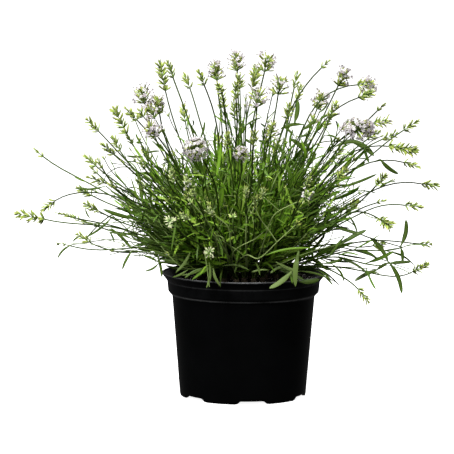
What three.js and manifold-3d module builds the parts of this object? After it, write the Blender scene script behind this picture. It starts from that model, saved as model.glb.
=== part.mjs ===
// Potted lavender in a round nursery pot. Millimetres, +Z up.
// The origin is the middle of the pot's base, on the surface that it stands on. +X is to the right
// and +Y away from someone who looks at its front.

import * as THREE from "three";
import { mergeVertices } from "three/addons/utils/BufferGeometryUtils.js";
import Module from "manifold-3d";

const wasm = await Module();
wasm.setup();

// The pot
const potHeight = 113.5;
const potTopRadius = 75;
const lipDepth = 7.8;
const lipFootRadius = 69.9;
const collarDepth = 17.2;
const collarFootRadius = 69;
const neckDepth = 21.2;
const neckRadius = 65.3;
const potBaseRadius = 58;
const footRadius = 57.4;
const footRingWidth = 2.6;
const footHeight = 3;
const potFloorThickness = 1.8;
const potWall = 1.5;
const potSides = 24;
const rimRollWidth = 0.6;
const rimRollHeight = 1.6;
const centrePadRadius = 9;
const footTaper = 0.4;
const drainHoleRadius = 4.5;
const drainHoleSides = 8;
const drainHoleCircle = 44;
const drainCount = 6;
const notchWidth = 29;
const notchTopWidth = 20;
const notchHeight = 3.6;
const notchDepth = 6;
const notchTurn = 8.5;
const cutDepth = 20;
const cutOverrun = 1;

// The soil
const soilEdgeHeight = 106.2;
const soilMound = 3.2;
const soilBumps = 0.9;
const lumpWaves = [0.31, 0.27, 0.53];
const lumpShifts = [1.7, -0.4];
const smallLumpShare = 0.6;
const soilRingRadii = [24, 50];
const fitGap = 0.35;

// Woody stems, one to each spray, which stand in plain holes in the soil
const trunkRadius = 3;
const trunkDepth = 18;
const trunkRise = 5;
const trunkSides = 4;
const branchSpread = 1.5;
const branchSeat = 0.9;
const holeClearance = 0.5;
const crownReach = 43;
const rootSpacing = 11;
const spacingPasses = 60;
const leastStartRise = 0.85;
const startRiseShare = 0.45;

// Flowering stems, and the calyces in whorls on their spikes. Where flowers are open, each calyx
// ends in a lobe that is floretWidth across.
const rootStemRadius = 0.9;
const bareStemPlace = 0.7;
const whorlHeight = 5;
const whorlPitch = 4.75;
const valleyHeight = 2.5;
const valleyReachShare = 0.48;
const calyxVariation = [0.92, 1.08];
const spikeNarrowing = 0.28;
const coreRadius = 1.05;
const tipLength = 3;
const whorlGap = 6;
const floretWidth = 4.4;
const kinds = {
  bud: { sides: 3, whorls: 2, reach: 2.9, stemRadius: 0.7 },
  spike: { sides: 3, whorls: 3, reach: 3.9, stemRadius: 0.85 },
  long: { sides: 4, whorls: 4, reach: 3.8, stemRadius: 0.85, lowWhorlApart: true },
  bloom: { sides: 4, whorls: 3, reach: 4.8, stemRadius: 0.85, open: true },
  head: { sides: 5, whorls: 3, reach: 7.4, stemRadius: 0.85, open: true },
};

// Leaves, which stand in pairs on leafy shoots and lower on flowering stems
const leafThickness = 0.8;
const leafLength = [26, 41];
const leafWidth = [3.6, 4.8];
const leafOpening = [0.3, 0.75];
const leafSag = [0.02, 0.2];
const leafAttempts = 6;
const leafGap = 0.5;
const potClearance = 3;
const leafSamples = [0.1, 0.22, 0.34, 0.46, 0.58, 0.7, 0.82, 0.94];
const leafWidest = 0.5;
const leafFootShare = 0.4;
const freeLeafShare = 0.4;
const nodeHeight = 1.8;
const stemLeafPlace = [0.18, 0.5];
const stemLeafScale = 0.9;
const shootLeafPlaces = [0.34, 0.6, 0.86];
const shootLeafScale = 0.95;
const endLeafScale = 0.9;
const leastEndLeafScale = 0.2;
const endLeafShrink = 0.85;
const endLeafTilt = 0.2;
const shootReach = [72, 108];
const shootSpread = 14;
const shootLift = 10;
const lowestShootTip = 125;
const shootRadius = 0.9;
const shootEndRadius = 0.7;
const shootSides = 4;

// How far stems bow to the side, as a share of their length. One that would cross another is
// tried again, each time bowed further and with its tip nearer or farther.
const stemSway = 0.04;
const shootSway = 0.08;
const swayTries = 24;
const swayGrowth = 0.15;
const tipShift = 1;
const stemGap = 0.7;
const stemSamples = 40;
const spikeSamples = 4;
const sharedFootShare = 0.06;
const limbSteps = 10;

// Slivers thinner than this, which a join leaves, are taken out
const sliver = 0.06;

// Seeds of the draws, one for each spray
const firstSeed = 1000003;
const seedStep = 700001;

// The eye that the places of the spikes were read from, level with the top of the leaves
const eye = new THREE.Vector3(-15.5, -2600, 455);

// The crown that the stems fan out from
const crown = new THREE.Vector3(0, 0, 112);

// Each line is one spray. A stem is written as [kind, across, up, depth, droop]. Across and up are
// where its tip is seen, right of the pot's middle and above its base. Depth is how far the tip
// lies behind the pot's middle, or before it if negative. Droop is how many degrees the spike
// leans below the line from its root. A shoot is the same with leaves and no spike.
const sprays = [
  [["long", -210, 166, -10, 7], ["spike", -175, 168, -50, 6], ["bud", -171, 139, -40, 0]],
  [["spike", -186, 168, 40, 55], ["spike", -154, 148, 60, -15], ["bud", -160, 165, 80, 0]],
  [["bud", -193, 226, 15, -4], ["spike", -154, 190, 40, 7], ["spike", -147, 220, 75, 2]],
  [["spike", -145, 254, -25, 5], ["spike", -144, 200, -60, 18], ["spike", -131, 231, -80, 8]],
  [["spike", -147, 176, -100, 2], ["bud", -125, 195, -120, 5], ["bud", -135, 218, -95, -15]],
  [["bud", -142, 211, 110, -5], ["spike", -121, 238, 90, -10], ["spike", -110, 175, 140, 5]],
  [["long", -120, 264, 45, -5], ["bloom", -95, 286, 20, -11], ["bud", -109, 240, 60, 0]],
  [["spike", -110, 264, -35, 15], ["bloom", -80, 276, -60, -15], ["bloom", -89, 250, -90, 12]],
  [["spike", -99, 219, -130, 0], ["spike", -100, 199, -135, 5], ["spike", -68, 209, -150, 0]],
  [["spike", -94, 229, 100, 0], ["spike", -75, 205, 145, 5], ["bloom", -57, 267, 95, -8]],
  [["long", -78, 306, 10, -7], ["spike", -56, 296, 60, 12], ["bloom", -27, 307, 35, 0]],
  [["spike", -71, 307, -35, 2], ["spike", -43, 299, -45, 15], ["spike", -25, 286, -70, 40]],
  [["head", -45, 227, -140, 20], ["spike", -54, 201, -130, 0], ["spike", -16, 241, -110, 0]],
  [["bloom", -70, 163, -120, 0], ["spike", -57, 167, -160, 5], ["spike", -48, 190, -165, 0]],
  [["spike", -32, 173, -150, 0], ["bloom", -33, 133, -130, 5], ["shoot", -27, 119, -74, 20]],
  [["spike", -21, 279, 85, 8], ["spike", -10, 272, 95, 0], ["spike", -25, 240, 130, 0]],
  [["spike", -35, 180, 175, 5], ["spike", -60, 150, 162, 5]],
  [["bloom", -8, 316, 10, 0], ["long", 11, 303, 55, 25]],
  [["spike", -9, 288, -75, 0], ["bloom", 12, 284, -50, 0], ["bloom", 22, 316, -20, 8]],
  [["bloom", -3, 225, -150, 10], ["spike", 9, 244, -130, 0], ["spike", 2, 191, -165, 0]],
  [["bloom", 26, 250, -120, 10], ["spike", 41, 269, -95, 0], ["bloom", 33, 296, -55, 0]],
  [["spike", 48, 298, 50, 0], ["spike", 51, 286, 100, 0], ["spike", 30, 235, 135, 0]],
  [["spike", 61, 202, -150, 0], ["bloom", 59, 187, -165, 5], ["spike", 94, 209, -130, 5]],
  [["bud", 78, 309, 20, 30], ["bloom", 93, 301, -20, 5]],
  [["bloom", 84, 271, -70, 0], ["head", 102, 246, -90, 12]],
  [["bloom", 71, 280, 85, 0], ["spike", 79, 259, 110, 5], ["spike", 90, 230, 130, 0]],
  [["bloom", 120, 286, 30, 60], ["bud", 129, 270, 60, 14], ["spike", 124, 244, 80, 19]],
  [["bloom", 119, 280, -30, 39], ["spike", 134, 253, -50, 43], ["spike", 141, 242, 10, 28]],
  [["spike", 159, 254, -10, 14], ["long", 159, 225, -45, 50], ["spike", 130, 205, -110, -6]],
  [["spike", 161, 210, 45, 53], ["bud", 131, 181, 90, 14], ["spike", 105, 180, 140, 5]],
  [["spike", 179, 193, 0, 37], ["bud", 173, 140, 50, 12], ["spike", 130, 140, 110, 5]],
  [["spike", 164, 174, -60, 31], ["spike", 136, 155, -100, 46], ["shoot", 145, 137, -20, 0]],
  [["spike", 170, 123, -40, -23], ["spike", 116, 85, -60, 33], ["shoot", 125, 120, -90, 10]],
  [["spike", 10, 183, -150, 0], ["spike", 18, 191, -140, 5], ["shoot", 38, 122, -76, 20]],
  [["spike", 0, 215, 160, 0], ["spike", 35, 175, 175, 5]],
  [["spike", 55, 145, 165, 5], ["spike", 66, 210, 150, 5]],
];

// A seeded draw, so that the plant grows alike each time
function seededDraw(seed) {
  let state = seed;
  return (low, high) => {
    state = (state * 48271) % 2147483647;
    return low + (high - low) * (state / 2147483647);
  };
}

function toManifold(points, faces) {
  const flat = new Float32Array(points.flatMap((p) => [p.x, p.y, p.z]));
  const mesh = new wasm.Mesh({ numProp: 3, vertProperties: flat, triVerts: new Uint32Array(faces.flat()) });
  return new wasm.Manifold(mesh);
}

function geometryToManifold(geometry) {
  geometry.deleteAttribute("normal");
  geometry.deleteAttribute("uv");
  const merged = mergeVertices(geometry, 1e-4);
  const flat = new Float32Array(merged.attributes.position.array);
  const faces = new Uint32Array(merged.index.array);
  return new wasm.Manifold(new wasm.Mesh({ numProp: 3, vertProperties: flat, triVerts: faces }));
}

function toMesh(name, solid, material) {
  const { vertProperties, triVerts } = solid.getMesh();
  const geometry = new THREE.BufferGeometry();
  geometry.setAttribute("position", new THREE.BufferAttribute(new Float32Array(vertProperties), 3));
  geometry.setIndex(new THREE.BufferAttribute(new Uint32Array(triVerts), 1));
  geometry.computeVertexNormals();
  const mesh = new THREE.Mesh(geometry, material);
  mesh.name = name;
  return mesh;
}

function finish(color, roughness) {
  return new THREE.MeshStandardMaterial({ color, roughness, metalness: 0 });
}

function along(from, direction, length) {
  return from.clone().addScaledVector(direction, length);
}

// The pot: a thin wall with a flared lip, a collar and a shoulder below it, and a foot ring
function potSolid() {
  const lipZ = potHeight - lipDepth;
  const collarZ = potHeight - collarDepth;
  const neckZ = potHeight - neckDepth;
  const floorZ = footHeight + potFloorThickness;
  const outline = [
    [0, 0], [centrePadRadius, 0], [centrePadRadius + footTaper, footHeight],
    [footRadius - footRingWidth - footTaper, footHeight], [footRadius - footRingWidth, 0],
    [footRadius, 0], [potBaseRadius, footHeight], [neckRadius, neckZ], [collarFootRadius, collarZ],
    [lipFootRadius, lipZ], [potTopRadius - rimRollWidth, potHeight - rimRollHeight],
    [potTopRadius, potHeight],
    [potTopRadius - potWall, potHeight], [lipFootRadius - potWall, lipZ],
    [neckRadius - potWall, neckZ],
    [potBaseRadius - potWall, floorZ], [0, floorZ],
  ];
  const points = outline.map(([radius, height]) => new THREE.Vector2(radius, height));
  let pot = geometryToManifold(new THREE.LatheGeometry(points, potSides).rotateX(Math.PI / 2));
  for (let i = 0; i < drainCount; i += 1) {
    const turn = THREE.MathUtils.degToRad(notchTurn - 90 + (360 / drainCount) * i);
    pot = pot.subtract(drainNotch(turn)).subtract(drainHole(turn));
  }
  return pot;
}

function drainNotch(turn) {
  const shape = new THREE.Shape([
    new THREE.Vector2(-notchWidth / 2 - cutOverrun, -cutOverrun),
    new THREE.Vector2(notchWidth / 2 + cutOverrun, -cutOverrun),
    new THREE.Vector2(notchTopWidth / 2, notchHeight),
    new THREE.Vector2(-notchTopWidth / 2, notchHeight),
  ]);
  const notch = new THREE.ExtrudeGeometry(shape, { depth: 2 * notchDepth, bevelEnabled: false });
  notch.rotateX(Math.PI / 2).rotateZ(Math.PI / 2).translate(footRadius - notchDepth, 0, 0);
  return geometryToManifold(notch.rotateZ(turn));
}

function drainHole(turn) {
  const hole = new THREE.CylinderGeometry(drainHoleRadius, drainHoleRadius, cutDepth, drainHoleSides);
  hole.rotateX(Math.PI / 2).translate(drainHoleCircle, 0, 0);
  return geometryToManifold(hole.rotateZ(turn));
}

// The soil: it fills the pot and is mounded and lumpy on top
function soilTop(x, y) {
  const fromMiddle = Math.min(Math.hypot(x, y) / (lipFootRadius - potWall), 1);
  const [waveX, waveY, waveAcross] = lumpWaves;
  const [shiftX, shiftY] = lumpShifts;
  const large = Math.sin(waveX * x + shiftX) * Math.cos(waveY * y + shiftY);
  const small = smallLumpShare * Math.sin(waveAcross * (x - y));
  const mound = soilMound * (1 - fromMiddle * fromMiddle);
  return soilEdgeHeight + mound + soilBumps * (large + small) * (1 - fromMiddle);
}

function soilSolid(roots) {
  const inset = potWall + fitGap;
  const topRadius = lipFootRadius - inset;
  const flatTop = soilEdgeHeight + soilMound;
  const outline = [
    [0, footHeight + potFloorThickness + fitGap],
    [potBaseRadius - inset, footHeight + potFloorThickness + fitGap],
    [neckRadius - inset, potHeight - neckDepth + fitGap / 2],
    [topRadius, soilEdgeHeight],
    ...soilRingRadii.toReversed().map((radius) => [radius, flatTop]),
    [0, flatTop],
  ];
  const points = outline.map(([radius, height]) => new THREE.Vector2(radius, height));
  const geometry = new THREE.LatheGeometry(points, potSides).rotateX(Math.PI / 2);
  const position = geometry.attributes.position;
  for (let i = 0; i < position.count; i += 1) {
    if (position.getZ(i) > soilEdgeHeight + soilMound / 2) {
      position.setZ(i, soilTop(position.getX(i), position.getY(i)));
    }
  }
  let soil = geometryToManifold(geometry);
  for (const root of roots) {
    const floor = root.z - trunkDepth - fitGap;
    soil = soil.subtract(postSolid(root.x, root.y, floor, root.z + trunkRise, trunkRadius + holeClearance));
  }
  return soil;
}

// Where a tip lies that is seen across and up in the picture, at a given depth
function sighted(across, up, depth) {
  const onMiddlePlane = new THREE.Vector3(across, 0, up);
  return onMiddlePlane.sub(eye).multiplyScalar(1 - depth / eye.y).add(eye);
}

// The foot of each spray leans the way its stems go, and no two stand closer than rootSpacing
function findRoots() {
  const roots = sprays.map((stems) => {
    const mean = new THREE.Vector3();
    for (const [, across, up, depth] of stems) {
      mean.add(sighted(across, up, depth).sub(crown).normalize());
    }
    return mean.divideScalar(stems.length).setZ(0).multiplyScalar(crownReach);
  });
  for (let pass = 0; pass < spacingPasses; pass += 1) {
    for (let i = 0; i < roots.length; i += 1) {
      for (let j = i + 1; j < roots.length; j += 1) {
        const apart = roots[j].clone().sub(roots[i]);
        const push = (rootSpacing - apart.length()) / 2;
        if (push > 0) {
          apart.normalize();
          roots[i].addScaledVector(apart, -push);
          roots[j].addScaledVector(apart, push);
        }
      }
    }
  }
  return roots.map((root) => root.setZ(soilTop(root.x, root.y)));
}

// A stem's path rises from its root more steeply than it ends, and all of it lies near one
// upright plane. side is the level direction across that plane, and end the way the tip points.
function archedPath(root, tip, droop, tipSpan, swayShare, draw) {
  const line = tip.clone().sub(root);
  const level = new THREE.Vector3(line.x, line.y, 0).normalize();
  const rise = Math.atan2(line.z, Math.hypot(line.x, line.y));
  const startRise = leastStartRise + startRiseShare * rise;
  const endRise = rise - THREE.MathUtils.degToRad(droop);
  const start = level.clone().multiplyScalar(Math.cos(startRise)).setZ(Math.sin(startRise));
  const end = level.clone().multiplyScalar(Math.cos(endRise)).setZ(Math.sin(endRise));
  const side = new THREE.Vector3(level.y, -level.x, 0);
  const neck = along(tip, end, -tipSpan);
  const span = neck.distanceTo(root);
  const sway = draw(-swayShare, swayShare) * span;
  const nearRoot = along(along(root, start, span / 3), side, sway);
  const nearNeck = along(along(neck, end, -span / 3), side, sway / 2);
  return { curve: new THREE.CubicBezierCurve3(root, nearRoot, nearNeck, neck), end, side };
}

function spikeHeight(kind) {
  return kind.whorls * whorlPitch + tipLength + (kind.lowWhorlApart ? whorlGap : 0);
}

function ringAround(centre, direction, side, radius, count, phase) {
  const across = side.clone().addScaledVector(direction, -side.dot(direction)).normalize();
  const upward = direction.clone().cross(across);
  const ring = [];
  for (let i = 0; i < count; i += 1) {
    const angle = phase + (2 * Math.PI * i) / count;
    ring.push(along(along(centre, across, radius * Math.cos(angle)), upward, radius * Math.sin(angle)));
  }
  return ring;
}

// A closed solid built ring by ring from its foot to its tip
class Loft {
  constructor(ring) {
    this.points = [];
    this.faces = [];
    this.last = this.add(ring);
    for (let i = 1; i + 1 < ring.length; i += 1) {
      this.faces.push([0, i + 1, i]);
    }
  }

  add(ring) {
    const first = this.points.length;
    this.points.push(...ring);
    return ring.map((_, i) => first + i);
  }

  // A leaf that grows out of four corners, two below and two above, to its keeled middle and tip
  blade([lowLeft, lowRight, highRight, highLeft], leaf) {
    const [keel, right, left, tip] = this.add([...leafSection(leaf, leafWidest), leaf.point(1)]);
    this.faces.push([lowLeft, lowRight, keel], [lowRight, highRight, right], [lowRight, right, keel]);
    this.faces.push([highRight, highLeft, left], [highRight, left, right]);
    this.faces.push([highLeft, lowLeft, keel], [highLeft, keel, left]);
    this.faces.push([keel, right, tip], [right, left, tip], [left, keel, tip]);
  }

  // The next ring of a stem. leaves may hold a leaf for each side of the stretch up to it, and
  // such a leaf grows out of that side.
  extend(ring, leaves = []) {
    const low = this.last;
    const high = this.add(ring);
    for (let i = 0; i < low.length; i += 1) {
      const next = (i + 1) % low.length;
      if (leaves[i]) {
        this.blade([low[i], low[next], high[next], high[i]], leaves[i]);
      } else {
        this.faces.push([low[i], low[next], high[next]], [low[i], high[next], high[i]]);
      }
    }
    this.last = high;
  }

  // A whorl of calyces. Each stands over a corner of the last ring and ends in one or two points,
  // and a valley lies between it and the next.
  whorl(calyces, valleys) {
    const low = this.last;
    this.calyces = calyces.map((points) => this.add(points));
    this.valleys = this.add(valleys);
    for (let i = 0; i < low.length; i += 1) {
      const next = (i + 1) % low.length;
      const tips = this.calyces[i];
      for (let k = 1; k < tips.length; k += 1) {
        this.faces.push([low[i], tips[k], tips[k - 1]]);
      }
      this.faces.push([low[i], low[next], this.valleys[i]]);
      this.faces.push([low[i], this.valleys[i], tips.at(-1)]);
      this.faces.push([low[next], this.calyces[next][0], this.valleys[i]]);
    }
  }

  // Back to the stem above a whorl, with each corner over a valley
  gather(ring) {
    const high = this.add(ring);
    for (let i = 0; i < high.length; i += 1) {
      const next = (i + 1) % high.length;
      this.roof(i, next, high[i]);
      this.faces.push([this.calyces[next].at(-1), high[next], high[i]]);
    }
    this.last = high;
  }

  roof(i, next, top) {
    const ahead = this.calyces[next];
    this.faces.push([this.calyces[i].at(-1), this.valleys[i], top], [this.valleys[i], ahead[0], top]);
    for (let k = 1; k < ahead.length; k += 1) {
      this.faces.push([ahead[k - 1], ahead[k], top]);
    }
  }

  closeWhorl(tip) {
    const [top] = this.add([tip]);
    for (let i = 0; i < this.calyces.length; i += 1) {
      this.roof(i, (i + 1) % this.calyces.length, top);
    }
  }

  closeFlat() {
    for (let i = 1; i + 1 < this.last.length; i += 1) {
      this.faces.push([this.last[0], this.last[i], this.last[i + 1]]);
    }
  }

  solid() {
    return toManifold(this.points, this.faces);
  }
}

// The rings of a stem up to its neck, with the leaves of each node between two rings
function stemLoft({ curve, side, kind, nodes }) {
  const sides = kind ? kind.sides : shootSides;
  const endRadius = kind ? kind.stemRadius : shootEndRadius;
  const startRadius = kind ? rootStemRadius : shootRadius;
  const halfNode = nodeHeight / 2 / curve.getLength();
  const ringAt = (t) => {
    const radius = startRadius + (endRadius - startRadius) * t;
    return ringAround(curve.getPoint(t), curve.getTangent(t), side, radius, sides, 0);
  };
  const loft = new Loft(ringAt(0));
  for (const { t, leaves } of nodes) {
    loft.extend(ringAt(t - halfNode));
    loft.extend(ringAt(t + halfNode), leaves);
  }
  if (kind) {
    loft.extend(ringAt(bareStemPlace));
  }
  loft.extend(ringAt(1));
  return loft;
}

// One flowering stem with its spike
function floweringStem(branch, draw) {
  const { curve, end, side, kind } = branch;
  const half = Math.PI / kind.sides;
  const loft = stemLoft(branch);
  let phase = 0;
  let base = curve.getPoint(1);
  for (let i = 0; i < kind.whorls; i += 1) {
    const narrowing = 1 - spikeNarrowing * (i / kind.whorls);
    const reach = kind.reach * narrowing * draw(...calyxVariation);
    const tips = ringAround(along(base, end, whorlHeight), end, side, reach, kind.sides, phase);
    const waist = along(base, end, valleyHeight);
    const valleys = ringAround(waist, end, side, valleyReachShare * reach, kind.sides, phase + half);
    loft.whorl(tips.map((tip) => (kind.open ? openLobe(base, end, tip) : [tip])), valleys);
    phase += half;
    base = along(base, end, whorlPitch);
    if (i + 1 < kind.whorls) {
      loft.gather(ringAround(base, end, side, coreRadius, kind.sides, phase));
    }
    if (i === 0 && kind.lowWhorlApart) {
      base = along(base, end, whorlGap);
      loft.extend(ringAround(base, end, side, coreRadius, kind.sides, phase));
    }
  }
  loft.closeWhorl(along(base, end, tipLength));
  return loft.solid();
}

// An open floret ends its calyx in a lobe instead of a point
function openLobe(base, end, tip) {
  const outward = tip.clone().sub(base).projectOnPlane(end).normalize();
  const across = end.clone().cross(outward);
  return [along(tip, across, -floretWidth / 2), along(tip, across, floretWidth / 2)];
}

// A leafy shoot ends in a leaf of its own
function shootSolid(branch) {
  const loft = stemLoft(branch);
  loft.blade(loft.last, branch.endLeaf);
  return loft.solid();
}

// An upright post, for a woody stem and for the hole that it stands in
function postSolid(x, y, low, high, radius) {
  const up = new THREE.Vector3(0, 0, 1);
  const side = new THREE.Vector3(1, 0, 0);
  const loft = new Loft(ringAround(new THREE.Vector3(x, y, low), up, side, radius, trunkSides, 0));
  loft.extend(ringAround(new THREE.Vector3(x, y, high), up, side, radius, trunkSides, 0));
  loft.closeFlat();
  return loft.solid();
}

// A leaf is a narrow flat blade. It leaves its stem at an angle to the tangent, towards outward,
// and sags a little.
function leafShape(at, tangent, outward, opening, length, width, sag) {
  const direction = tangent.clone().multiplyScalar(Math.cos(opening));
  direction.addScaledVector(outward, Math.sin(opening)).normalize();
  const across = tangent.clone().cross(outward).normalize();
  const face = direction.clone().cross(across);
  const point = (s) => along(at, direction, s * length).setZ(at.z + s * length * (direction.z - sag * s));
  return { point, across, face, width };
}

function leafSection(leaf, s) {
  const middle = leaf.point(s);
  const rim = (x) => along(along(middle, leaf.across, (x * leaf.width) / 2), leaf.face, leafThickness / 2);
  return [along(middle, leaf.face, -leafThickness / 2), rim(1), rim(-1)];
}

function distanceToLimb(point, limb) {
  const { from, to } = limb;
  const t = THREE.MathUtils.clamp(
    point.clone().sub(from).dot(limb.line) / limb.line.lengthSq(), 0, 1,
  );
  return point.distanceTo(from.clone().lerp(to, t));
}

function makeLimb(from, to, radius, spray, stem) {
  return { from, to, line: to.clone().sub(from), radius, spray, stem };
}

function clearOfPot(point) {
  const fromMiddle = Math.hypot(point.x, point.y);
  if (fromMiddle < lipFootRadius - potClearance) {
    return point.z > soilTop(point.x, point.y) + potClearance;
  }
  return fromMiddle > potTopRadius + potClearance || point.z > potHeight + potClearance;
}

// Half the width of a leaf at a share s of its length
function leafReach(leaf, s) {
  const widening = leafFootShare + (1 - leafFootShare) * (s / leafWidest);
  const narrowing = (1 - s) / (1 - leafWidest);
  return (leaf.width / 2) * Math.min(widening, narrowing);
}

// True if a leaf misses the pot and every limb but the stem that it grows on. Its first samples
// lie beside its own stem, so they are held against the other sprays alone.
function leafIsClear(leaf, spray, stem, limbs) {
  return leafSamples.every((s) => {
    const point = leaf.point(s);
    const reach = leafReach(leaf, s) + leafGap;
    return clearOfPot(point) && limbs.every((limb) => {
      if (limb.spray === spray && (limb.stem === stem || s < freeLeafShare)) {
        return true;
      }
      return distanceToLimb(point, limb) > reach + limb.radius;
    });
  });
}

// True if a stem, with its spike, misses the limbs of every other spray, and those of its own
// spray from a little above their shared foot
function stemIsClear(curve, end, kind, spray, limbs) {
  const samples = curve.getPoints(stemSamples).map((point, i) => (
    { point, reach: rootStemRadius, nearFoot: i < stemSamples * sharedFootShare }
  ));
  const neck = curve.getPoint(1);
  for (let i = 1; kind && i <= spikeSamples; i += 1) {
    const height = (i / spikeSamples) * spikeHeight(kind);
    samples.push({ point: along(neck, end, height), reach: kind.reach });
  }
  return samples.every(({ point, reach, nearFoot }) => limbs.every((limb) => {
    if (limb.spray === spray) {
      return nearFoot || distanceToLimb(point, limb) > reach + limb.radius;
    }
    return distanceToLimb(point, limb) > reach + limb.radius + stemGap;
  }));
}

// Tries a few ways to open a leaf out of one side of its stem, and returns the first that is clear
function placeLeaf(branch, t, face, scale, draw, spray, stem, limbs) {
  const { curve, side, kind } = branch;
  const sides = kind ? kind.sides : shootSides;
  const tangent = curve.getTangent(t);
  const across = side.clone().addScaledVector(tangent, -side.dot(tangent)).normalize();
  const upward = tangent.clone().cross(across);
  const angle = (2 * Math.PI * (face + 0.5)) / sides;
  const normal = across.multiplyScalar(Math.cos(angle)).addScaledVector(upward, Math.sin(angle));
  const at = along(curve.getPoint(t), normal, rootStemRadius * Math.cos(Math.PI / sides));
  for (let attempt = 0; attempt < leafAttempts; attempt += 1) {
    const opening = draw(...leafOpening);
    const length = scale * draw(...leafLength);
    const width = draw(...leafWidth);
    const leaf = leafShape(at, tangent, normal, opening, length, width, draw(...leafSag));
    if (leafIsClear(leaf, spray, stem, limbs)) {
      claimLeaf(leaf, spray, stem, limbs);
      return leaf;
    }
  }
  return null;
}

// The leaf at a shoot's end, which is the shorter the less room it has
function placeEndLeaf({ curve, side }, draw, spray, stem, limbs) {
  const way = curve.getTangent(1);
  const across = side.clone().projectOnPlane(way).normalize();
  const upward = way.clone().cross(across);
  let leaf;
  for (let scale = endLeafScale; scale > leastEndLeafScale; scale *= endLeafShrink) {
    const length = scale * draw(...leafLength);
    const width = scale * draw(...leafWidth);
    const tilt = draw(-endLeafTilt, endLeafTilt);
    leaf = leafShape(curve.getPoint(1), way, upward, tilt, length, width, draw(...leafSag));
    if (leafIsClear(leaf, spray, stem, limbs)) {
      break;
    }
  }
  claimLeaf(leaf, spray, stem, limbs);
  return leaf;
}

// What stands in the way of later leaves and stems is kept as a list of limbs
function claimLeaf(leaf, spray, stem, limbs) {
  const middle = leaf.point(leafWidest);
  limbs.push(makeLimb(leaf.point(0), middle, leaf.width / 2, spray, stem));
  limbs.push(makeLimb(middle, leaf.point(1), leaf.width / 2, spray, stem));
}

// The leafy shoot of a spray goes the way of its stems, but not as far
function shootTip(stems, draw) {
  const mean = new THREE.Vector3();
  for (const [, across, up, depth] of stems) {
    mean.add(sighted(across, up, depth).sub(crown).normalize());
  }
  const tip = along(crown, mean.normalize(), draw(...shootReach));
  tip.x += draw(-shootSpread, shootSpread);
  tip.y += draw(-shootSpread, shootSpread);
  tip.z = Math.max(tip.z + draw(-shootLift, shootLift), lowestShootTip);
  return tip;
}

// The feet of a spray's stems stand evenly round the top of its woody stem, inside it, in the
// order of the ways that the stems leave to
function branchFeet(root, tips) {
  const ways = tips.map((tip) => tip.clone().sub(root).normalize());
  const mean = ways.reduce((sum, way) => sum.add(way), new THREE.Vector3()).divideScalar(ways.length);
  const leans = ways.map((way) => Math.atan2(way.y - mean.y, way.x - mean.x));
  const sorted = leans.toSorted((a, b) => a - b);
  const step = (2 * Math.PI) / leans.length;
  const turn = sorted.reduce((sum, lean, rank) => sum + lean - step * rank, 0) / leans.length;
  return leans.map((lean) => {
    const angle = turn + step * sorted.indexOf(lean);
    const [x, y] = [root.x + branchSpread * Math.cos(angle), root.y + branchSpread * Math.sin(angle)];
    return new THREE.Vector3(x, y, root.z + trunkRise - branchSeat);
  });
}

// The paths of one spray's stems and shoots. One that would cross another spray is bowed
// aside further.
function planSpray(stems, root, spray, limbs) {
  const draw = seededDraw(firstSeed + seedStep * spray);
  const targets = stems.map(([kindName, across, up, depth, droop]) => (
    { kind: kinds[kindName], tip: sighted(across, up, depth), droop }
  ));
  if (!stems.some(([kindName]) => kindName === "shoot")) {
    targets.push({ tip: shootTip(stems, draw), droop: 0 });
  }
  const feet = branchFeet(root, targets.map(({ tip }) => tip));
  const branches = targets.map(({ kind, tip, droop }, stem) => {
    const foot = feet[stem];
    const spikeSpan = kind ? spikeHeight(kind) : 0;
    const lineOfSight = tip.clone().sub(eye).normalize();
    let path;
    for (let attempt = 0; attempt < swayTries; attempt += 1) {
      const sway = (kind ? stemSway : shootSway) * (1 + swayGrowth * attempt);
      const shifted = along(tip, lineOfSight, attempt * draw(-tipShift, tipShift));
      path = archedPath(foot, shifted, droop, spikeSpan, sway, draw);
      if (stemIsClear(path.curve, path.end, kind, spray, limbs)) {
        break;
      }
    }
    claimStem(path, kind, spray, stem, limbs);
    return { ...path, kind };
  });
  return { root, branches, draw };
}

function claimStem({ curve, end }, kind, spray, stem, limbs) {
  const points = curve.getPoints(limbSteps);
  for (let i = 1; i < points.length; i += 1) {
    limbs.push(makeLimb(points[i - 1], points[i], rootStemRadius, spray, stem));
  }
  if (kind) {
    const neck = points.at(-1);
    limbs.push(makeLimb(neck, along(neck, end, spikeHeight(kind)), kind.reach, spray, stem));
  }
}

// Leaves stand in pairs on a shoot, each pair turned a quarter round it from the pair below. A
// flowering stem has one leaf or pair, lower down.
function growLeaves({ branches, draw }, spray, limbs) {
  branches.forEach((branch, stem) => {
    const { kind } = branch;
    if (!kind) {
      branch.endLeaf = placeEndLeaf(branch, draw, spray, stem, limbs);
    }
    const places = kind ? [draw(...stemLeafPlace)] : shootLeafPlaces;
    const scale = kind ? stemLeafScale : shootLeafScale;
    const turn = kind ? Math.floor(draw(0, kind.sides)) : 0;
    branch.nodes = places.map((t, step) => {
      const leaves = [];
      for (const face of leafFaces(kind, turn + step)) {
        leaves[face] = placeLeaf(branch, t, face, scale, draw, spray, stem, limbs);
      }
      return { t, leaves };
    });
  });
}

function leafFaces(kind, turn) {
  const sides = kind ? kind.sides : shootSides;
  return sides === 4 ? [turn % 4, (turn + 2) % 4] : [turn % sides];
}

function spraySolid(plan) {
  const stems = plan.branches.map((branch) => (
    branch.kind ? floweringStem(branch, plan.draw) : shootSolid(branch)
  ));
  const { x, y, z } = plan.root;
  const trunk = postSolid(x, y, z - trunkDepth, z + trunkRise, trunkRadius);
  return largestPiece(wasm.Manifold.union([trunk, ...stems]).simplify(sliver));
}

// A scrap, or a bubble shut in where blades cross, is left out
function largestPiece(solid) {
  return solid.decompose().reduce((best, piece) => (piece.volume() > best.volume() ? piece : best));
}

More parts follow.
